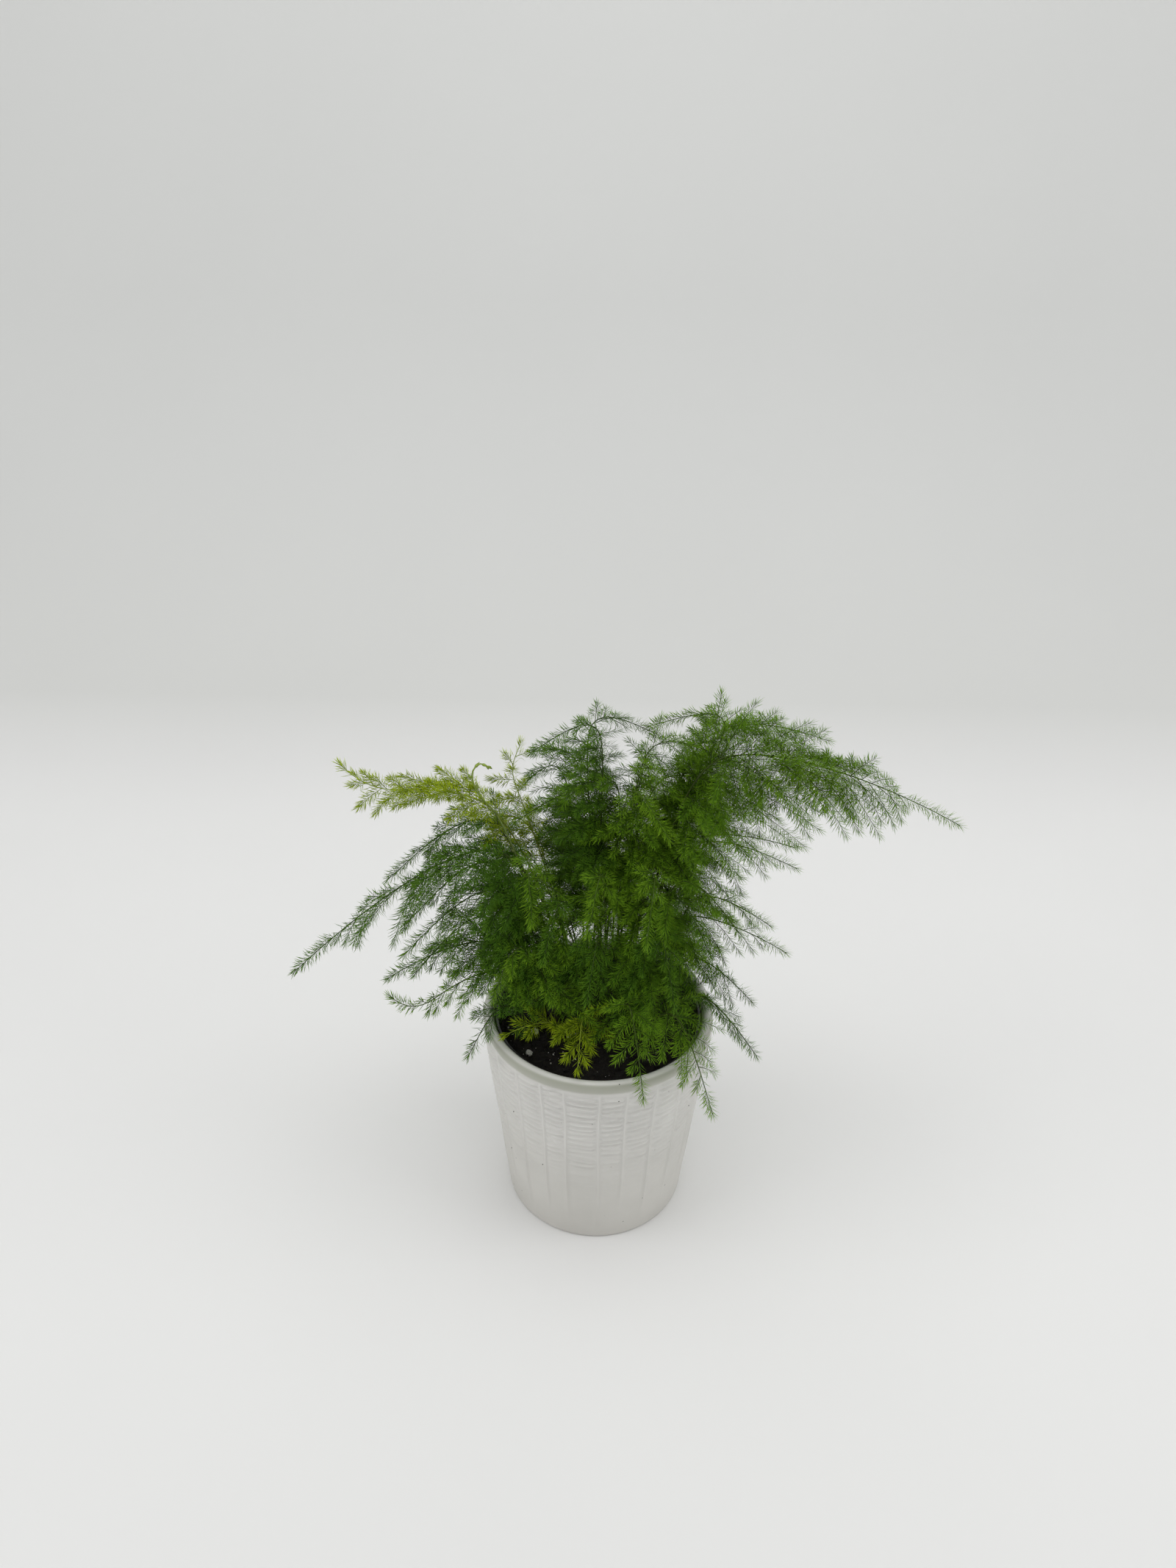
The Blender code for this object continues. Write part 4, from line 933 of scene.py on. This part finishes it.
class Growth:
    """Closed tubes and needles gathered into one mesh, with the map marks of their corners."""

    def __init__(self):
        self.points = []
        self.faces = []
        self.marks = []
        self.count = 0

    def add(self, points, faces, marks):
        self.points.append(points)
        self.faces.append(faces + self.count)
        self.marks.append(marks)
        self.count += len(points)

    def mesh(self, name, finish, mapped=True):
        marks = np.concatenate(self.marks) if mapped else None
        return mesh_of(name, np.concatenate(self.points), np.concatenate(self.faces), finish, marks=marks)

    def tube(self, line, radii, sides, across, age, bark):
        """A tube along a line. age and bark are map places: bark runs from the first to the second
        number along it."""
        rows = len(radii)
        distance = np.linspace(0.0, line.length, rows)
        centre = line.at(distance)
        heading = line.heading(distance)
        side = unit(across - heading * (heading @ across)[:, None])
        up = np.cross(side, heading)
        turns = 2 * math.pi * np.arange(sides) / sides
        ring = side[:, None] * np.cos(turns)[:, None] + up[:, None] * np.sin(turns)[:, None]
        points = centre[:, None] + ring * np.asarray(radii)[:, None, None]
        number = np.arange(rows * sides).reshape(rows, sides)
        following = np.roll(number, -1, axis=1)
        a, b, c, d = number[:-1], following[:-1], following[1:], number[1:]
        first, last = rows * sides, rows * sides + 1
        faces = [np.stack([b, a, c], -1).reshape(-1, 3), np.stack([c, a, d], -1).reshape(-1, 3),
                 np.stack([number[0], following[0], np.full(sides, first)], -1),
                 np.stack([following[-1], number[-1], np.full(sides, last)], -1)]
        faces = np.concatenate(faces)
        ends = [centre[0] - heading[0] * radii[0] * 0.4, centre[-1] + heading[-1] * radii[-1] * 1.5]
        level = np.concatenate([np.repeat(np.linspace(bark[0], bark[1], rows), sides), bark])
        turn = np.concatenate([np.tile(np.arange(sides) / sides, rows), [0.5, 0.5]])
        marks = np.stack([age + MARK_WIDTH * (turn[faces] - 0.5), level[faces]], -1)
        self.add(np.concatenate([points.reshape(-1, 3), ends]), faces, marks)

    def needles(self, rng, line, start, side, age, density, flat=0.6):
        """Needles all along a twig from a distance on, each a closed sliver that is widest at its
        two belly corners. They stand off it all round, and lean forward into a brush at its end."""
        total = int((line.length - start) * density)
        if total < 3:
            return
        distance = start + (line.length - start) * (np.arange(total) + rng.uniform(0, 1, total)) / total
        root = line.at(distance)
        heading = line.heading(distance)
        sides = unit(side - heading * (heading @ side)[:, None])
        ups = np.cross(sides, heading)
        turn = rng.uniform(0, 2 * math.pi) + GOLDEN_TURN * np.arange(total) + rng.normal(0, 0.3, total)
        to_end = np.clip((line.length - distance) / NEEDLE, 0, 1)
        lean = mix(0.4, 1.0, to_end) * rng.uniform(*NEEDLE_LEANS, total)
        round_it = sides * np.cos(turn)[:, None] + ups * (flat * np.sin(turn))[:, None]
        aim = unit(heading * np.cos(lean)[:, None] + round_it * np.sin(lean)[:, None])
        reach = (NEEDLE * mix(0.8, 1.0, to_end) * rng.uniform(*NEEDLE_LENGTHS, total))[:, None]
        e, g = square_to(aim)
        one = root + aim * reach * BELLY[0] + e * NEEDLE_RADIUS
        other = root + aim * reach * BELLY[1] + (0.87 * g - 0.5 * e) * NEEDLE_RADIUS
        points = np.stack([root, one, other, root + aim * reach], axis=1).reshape(-1, 3)
        first = 4 * np.arange(total)[:, None]
        faces = np.concatenate([first + corners for corners in SLIVER])
        spread = np.array((0.0, -0.5, 0.5, 0.0)) * MARK_WIDTH
        level = mix(NEEDLE_LOW, NEEDLE_HIGH, np.array((0.0, *BELLY, 1.0)))
        ages = np.clip(age + rng.normal(0, NEEDLE_AGE_SPREAD, total), 0.02, 0.98)
        marks = np.stack([ages[:, None] + spread, np.broadcast_to(level, (total, 4))], -1).reshape(-1, 2)
        self.add(points, faces, marks[faces])


def grow_spray(growth, rng, line, up, age, density, twig_share):
    """A side spray like a feather. A long one carries smaller feathers on both sides of its
    inner part, in the frond's plane."""
    across = unit(np.cross(up, line.heading(0.0)))
    rows = max(3, int(line.length / SPRAY_ROW))
    growth.tube(line, np.linspace(SPRAY_RADIUS, SPRAY_TIP_RADIUS, rows), 3, across, age,
                (mix(BARK_LOW, BARK_HIGH, 0.7), BARK_HIGH))
    growth.needles(rng, line, 1.5, across, age, density)
    distance = rng.uniform(*TWIG_START)
    side = rng.choice((-1.0, 1.0))
    while distance < line.length * TWIG_REACH:
        length = twig_share * (line.length - distance) * rng.uniform(*TWIG_LENGTHS)
        if length > TWIG_SHORTEST:
            grow_twig(growth, rng, line, distance, length, side, up, age, density)
        distance += TWIG_PITCH * rng.uniform(*TWIG_GAPS)
        side = -side


def grow_twig(growth, rng, parent, distance, length, side, up, age, density):
    """A small feather on one side of a spray, curling forward and down a little."""
    root = parent.at(distance)
    heading = parent.heading(distance)
    flat = unit(np.cross(heading, up)) * side
    a = math.radians(TWIG_LEAN + rng.normal(0, TWIG_LEAN_SPREAD))
    out = unit(flat * math.cos(a) + heading * math.sin(a) + up * rng.uniform(*TWIG_LIFT))
    share = np.linspace(0, 1, 4)
    points = root + np.outer(share * length, out) + np.outer(share**2 * length * TWIG_CURL, heading)
    points[:, 2] -= TWIG_SAG * length * share**SAG_POWER
    twig = Line(points)
    growth.tube(twig, (TWIG_RADIUS, TWIG_RADIUS * 0.8, TWIG_TIP_RADIUS), 3, up, age,
                (mix(BARK_LOW, BARK_HIGH, 0.9), BARK_HIGH))
    growth.needles(rng, twig, 1.0, unit(np.cross(up, out)), age, density)


def habit_of(rng, f, length):
    """Where a frond's sprays start and end on its stem, and how many, how old and how dense they are."""
    group = f.name.split("_")[0]
    start = mix(STEM_DEPTH, length, f.first - LOWER_START.get(group, USUAL_LOWER_START))
    end = mix(length, start, PLUME_SHARE[f.tint])
    count = max(FEWEST_SPRAYS, round((end - start) / SPRAY_PITCH / PITCH_SHARE.get(group, 1.0)))
    age = rng.uniform(*AGES.get(group, USUAL_AGES))
    density = NEEDLES_PER_MM[f.tint] * (FAR_NEEDLES if group == "far" else 1)
    if group == "crown":
        return Habit(start, end, count, age, density, CROWN_TWIG_SHARE, CROWN_TWIGS_TO)
    return Habit(start, end, count, age, density, TWIG_SHARE, TWIGS_TO)


def add_spray(growth, rng, f, stem, habit, number):
    """One spray of a frond. Even and odd ones stand on different sides of the stem."""
    share = (number + 0.5 + rng.uniform(-PITCH_JITTER, PITCH_JITTER)) / habit.count
    distance = mix(habit.start, habit.end, share)
    direction = stem.heading(distance)
    side, up = frame(direction, across_of(f), f.roll)
    sign = 1 if number % 2 else -1
    upright = upright_share(direction)
    spread = f.spread * (1 + f.lop * sign) * mix(1.0, UPRIGHT_REACH, upright)
    length = (spread * side_profile(share) - TIP_LENGTH + SPRAY_EXTRA) * rng.uniform(*SPRAY_LENGTHS)
    if length < SPRAY_SHORTEST:
        return
    lean = rng.normal(0, SPRAY_LEAN_SPREAD)
    tilt = sign * rng.normal(0, mix(SPRAY_TILT, UPRIGHT_TILT, upright))
    line = spray_line(f, stem.at(distance), direction, side * sign, up, length, lean, tilt)
    age = np.clip(habit.age + AGE_TO_TIP * share + rng.normal(0, SPRAY_AGE_SPREAD), 0.05, 0.95)
    twig_share = habit.twig_share if share < habit.twigs_to else 0.0
    normal = mix(up, direction, UPRIGHT_TURN * upright) + rng.normal(0, PLANE_SPREAD, 3)
    grow_spray(growth, rng, line, unit(normal), age, habit.density, twig_share)


def build_frond(index, f, finish):
    rng = np.random.default_rng(SEED * 100 + index)
    growth = Growth()
    stem = stem_line(f)
    across = across_of(f)
    share = np.linspace(0, 1, int(stem.length / STEM_ROW))
    growth.tube(stem, mix(STEM_RADIUS, STEM_TIP_RADIUS, share**0.7), 6, across, 0.3,
                (BARK_LOW, BARK_HIGH))
    habit = habit_of(rng, f, stem.length)
    for number in range(habit.count):
        add_spray(growth, rng, f, stem, habit, number)
    leafy = Line(stem.at(np.linspace(mix(habit.start, habit.end, 0.3), habit.end, 12)))
    growth.needles(rng, leafy, 0.0, across, habit.age, STEM_NEEDLES_PER_MM)
    plume = Line(stem.at(np.linspace(habit.end, stem.length, 8)))
    growth.needles(rng, plume, 0.0, across, min(0.95, habit.age + PLUME_AGE), PLUME_NEEDLES_PER_MM, 0.8)
    place(growth.mesh("foliage_" + f.name, finish), "foliage_" + f.tint, "frond_" + f.name)


def build_shoot(finish):
    """The young shoot: a smooth stem with pointed scale buds up its length and round its hook."""
    growth = Growth()
    line = shoot_line()
    across = np.array((0.0, 1.0, 0.0))
    radii = mix(SHOOT_RADIUS, SHOOT_TIP_RADIUS, np.linspace(0, 1, 70) ** 1.4)
    growth.tube(line, radii, 8, across, 0.5, SHOOT_BARK)
    for i in range(BUDS):
        distance = line.length - BUD_FIRST - BUD_GAP * i - BUD_GAP_GROWTH * i * i
        heading = line.heading(distance)
        side = turn_about(across, heading, BUD_TURN * i + BUD_TURN_START)
        root = line.at(distance) + side * 0.35
        bud = Line([root, root + side * 0.9 + heading * 1.2, root + side * 1.5 + heading * 2.8])
        growth.tube(bud, BUD_RADII, 6, np.cross(side, heading), 0.5, SHOOT_BARK)
    place(growth.mesh("shoot_stem", finish, mapped=False), "shoot", "young_shoot")


# Surroundings
def backdrop_paper():
    """Pale paper, brightest on the floor and greyer up the wall, the grey being painted shade."""
    n = Nodes("backdrop", 0.85)
    # Painted shade: the paper's colour is made greyer up the wall than on the floor
    paper = n.ramp(n.height(0.0, 0.25), [(0.0, (0.895, 0.895, 0.89)), (0.09, (0.82, 0.82, 0.815)),
                                         (0.24, (0.72, 0.725, 0.71)), (1.0, (0.715, 0.722, 0.712))])
    drift = n.ramp(n.noise(3.0, 2.0), [(0.3, (0.98, 0.98, 0.98)), (0.7, WHITE)])
    n.link(n.blend(1.0, paper, drift, "MULTIPLY"), n.shader.inputs["Base Color"])
    return n.material


def build_backdrop():
    """A seamless sheet: floor, soft curve and wall."""
    rows = [(FLOOR_FRONT, 0.0), (FLOOR_MIDDLE, 0.0), (SWEEP_START, 0.0)]
    for i in range(1, SWEEP_STEPS + 1):
        a = math.pi / 2 * i / SWEEP_STEPS
        rows.append((SWEEP_START + SWEEP_RADIUS * math.sin(a), SWEEP_RADIUS * (1 - math.cos(a))))
    rows.append((SWEEP_START + SWEEP_RADIUS, SHEET_TOP))
    points = [(x, y, z) for x in (-SHEET_HALF, SHEET_HALF) for y, z in rows]
    n = len(rows)
    faces = []
    for i in range(n - 1):
        faces += [(i, n + i, n + i + 1), (i, n + i + 1, i + 1)]
    mesh_of("backdrop", points, faces, backdrop_paper())


def add_light(name, place_at, target, size, power):
    lamp = bpy.data.lights.new(name, "AREA")
    lamp.shape = "RECTANGLE"
    lamp.size, lamp.size_y = size
    lamp.energy = power
    made = add_object(name, lamp)
    made.location = place_at
    aim = Vector(target) - Vector(place_at)
    made.rotation_euler = aim.to_track_quat("-Z", "Y").to_euler()


def build_lights():
    world = bpy.data.worlds.new("studio")
    world.use_nodes = True
    sky = world.node_tree.nodes["Background"]
    sky.inputs["Color"].default_value = SKY
    sky.inputs["Strength"].default_value = SKY_STRENGTH
    bpy.context.scene.world = world
    for light in LIGHTS:
        add_light(*light)


def build_camera():
    """The photograph's view: a wide lens, looking down at the pot and rolled a little."""
    forward = Vector((0, math.cos(CAMERA_PITCH), -math.sin(CAMERA_PITCH)))
    level = Vector((1, 0, 0))
    up = level.cross(forward)
    right = math.cos(CAMERA_ROLL) * level + math.sin(CAMERA_ROLL) * up
    top = -math.sin(CAMERA_ROLL) * level + math.cos(CAMERA_ROLL) * up
    turn = Matrix((right, top, -forward)).transposed()
    lens = bpy.data.cameras.new("camera")
    lens.lens = LENS
    lens.sensor_width = SENSOR
    lens.clip_start = NEAREST
    made = add_object("camera", lens)
    made.matrix_world = Matrix.Translation(CAMERA_PLACE) @ turn.to_4x4()
    bpy.context.scene.camera = made


def build_all():
    build_camera()
    build_backdrop()
    build_lights()
    bpy.context.scene.view_settings.view_transform = "Standard"
    build_pot(ceramic())
    build_liner(black_plastic())
    build_soil(soil_stuff())
    build_perlite(perlite_stuff())
    greens = {tint: foliage(tint) for tint in TINTS}
    for index, f in enumerate(FRONDS):
        build_frond(index, f, greens[f.tint])
    build_shoot(shoot_stuff())


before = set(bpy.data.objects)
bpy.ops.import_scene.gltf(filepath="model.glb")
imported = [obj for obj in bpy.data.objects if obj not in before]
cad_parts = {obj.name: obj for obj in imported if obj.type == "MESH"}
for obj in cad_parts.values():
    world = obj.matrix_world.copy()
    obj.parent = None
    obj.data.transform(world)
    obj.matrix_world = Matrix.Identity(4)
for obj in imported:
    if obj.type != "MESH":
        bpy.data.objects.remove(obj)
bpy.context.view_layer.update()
build_all()
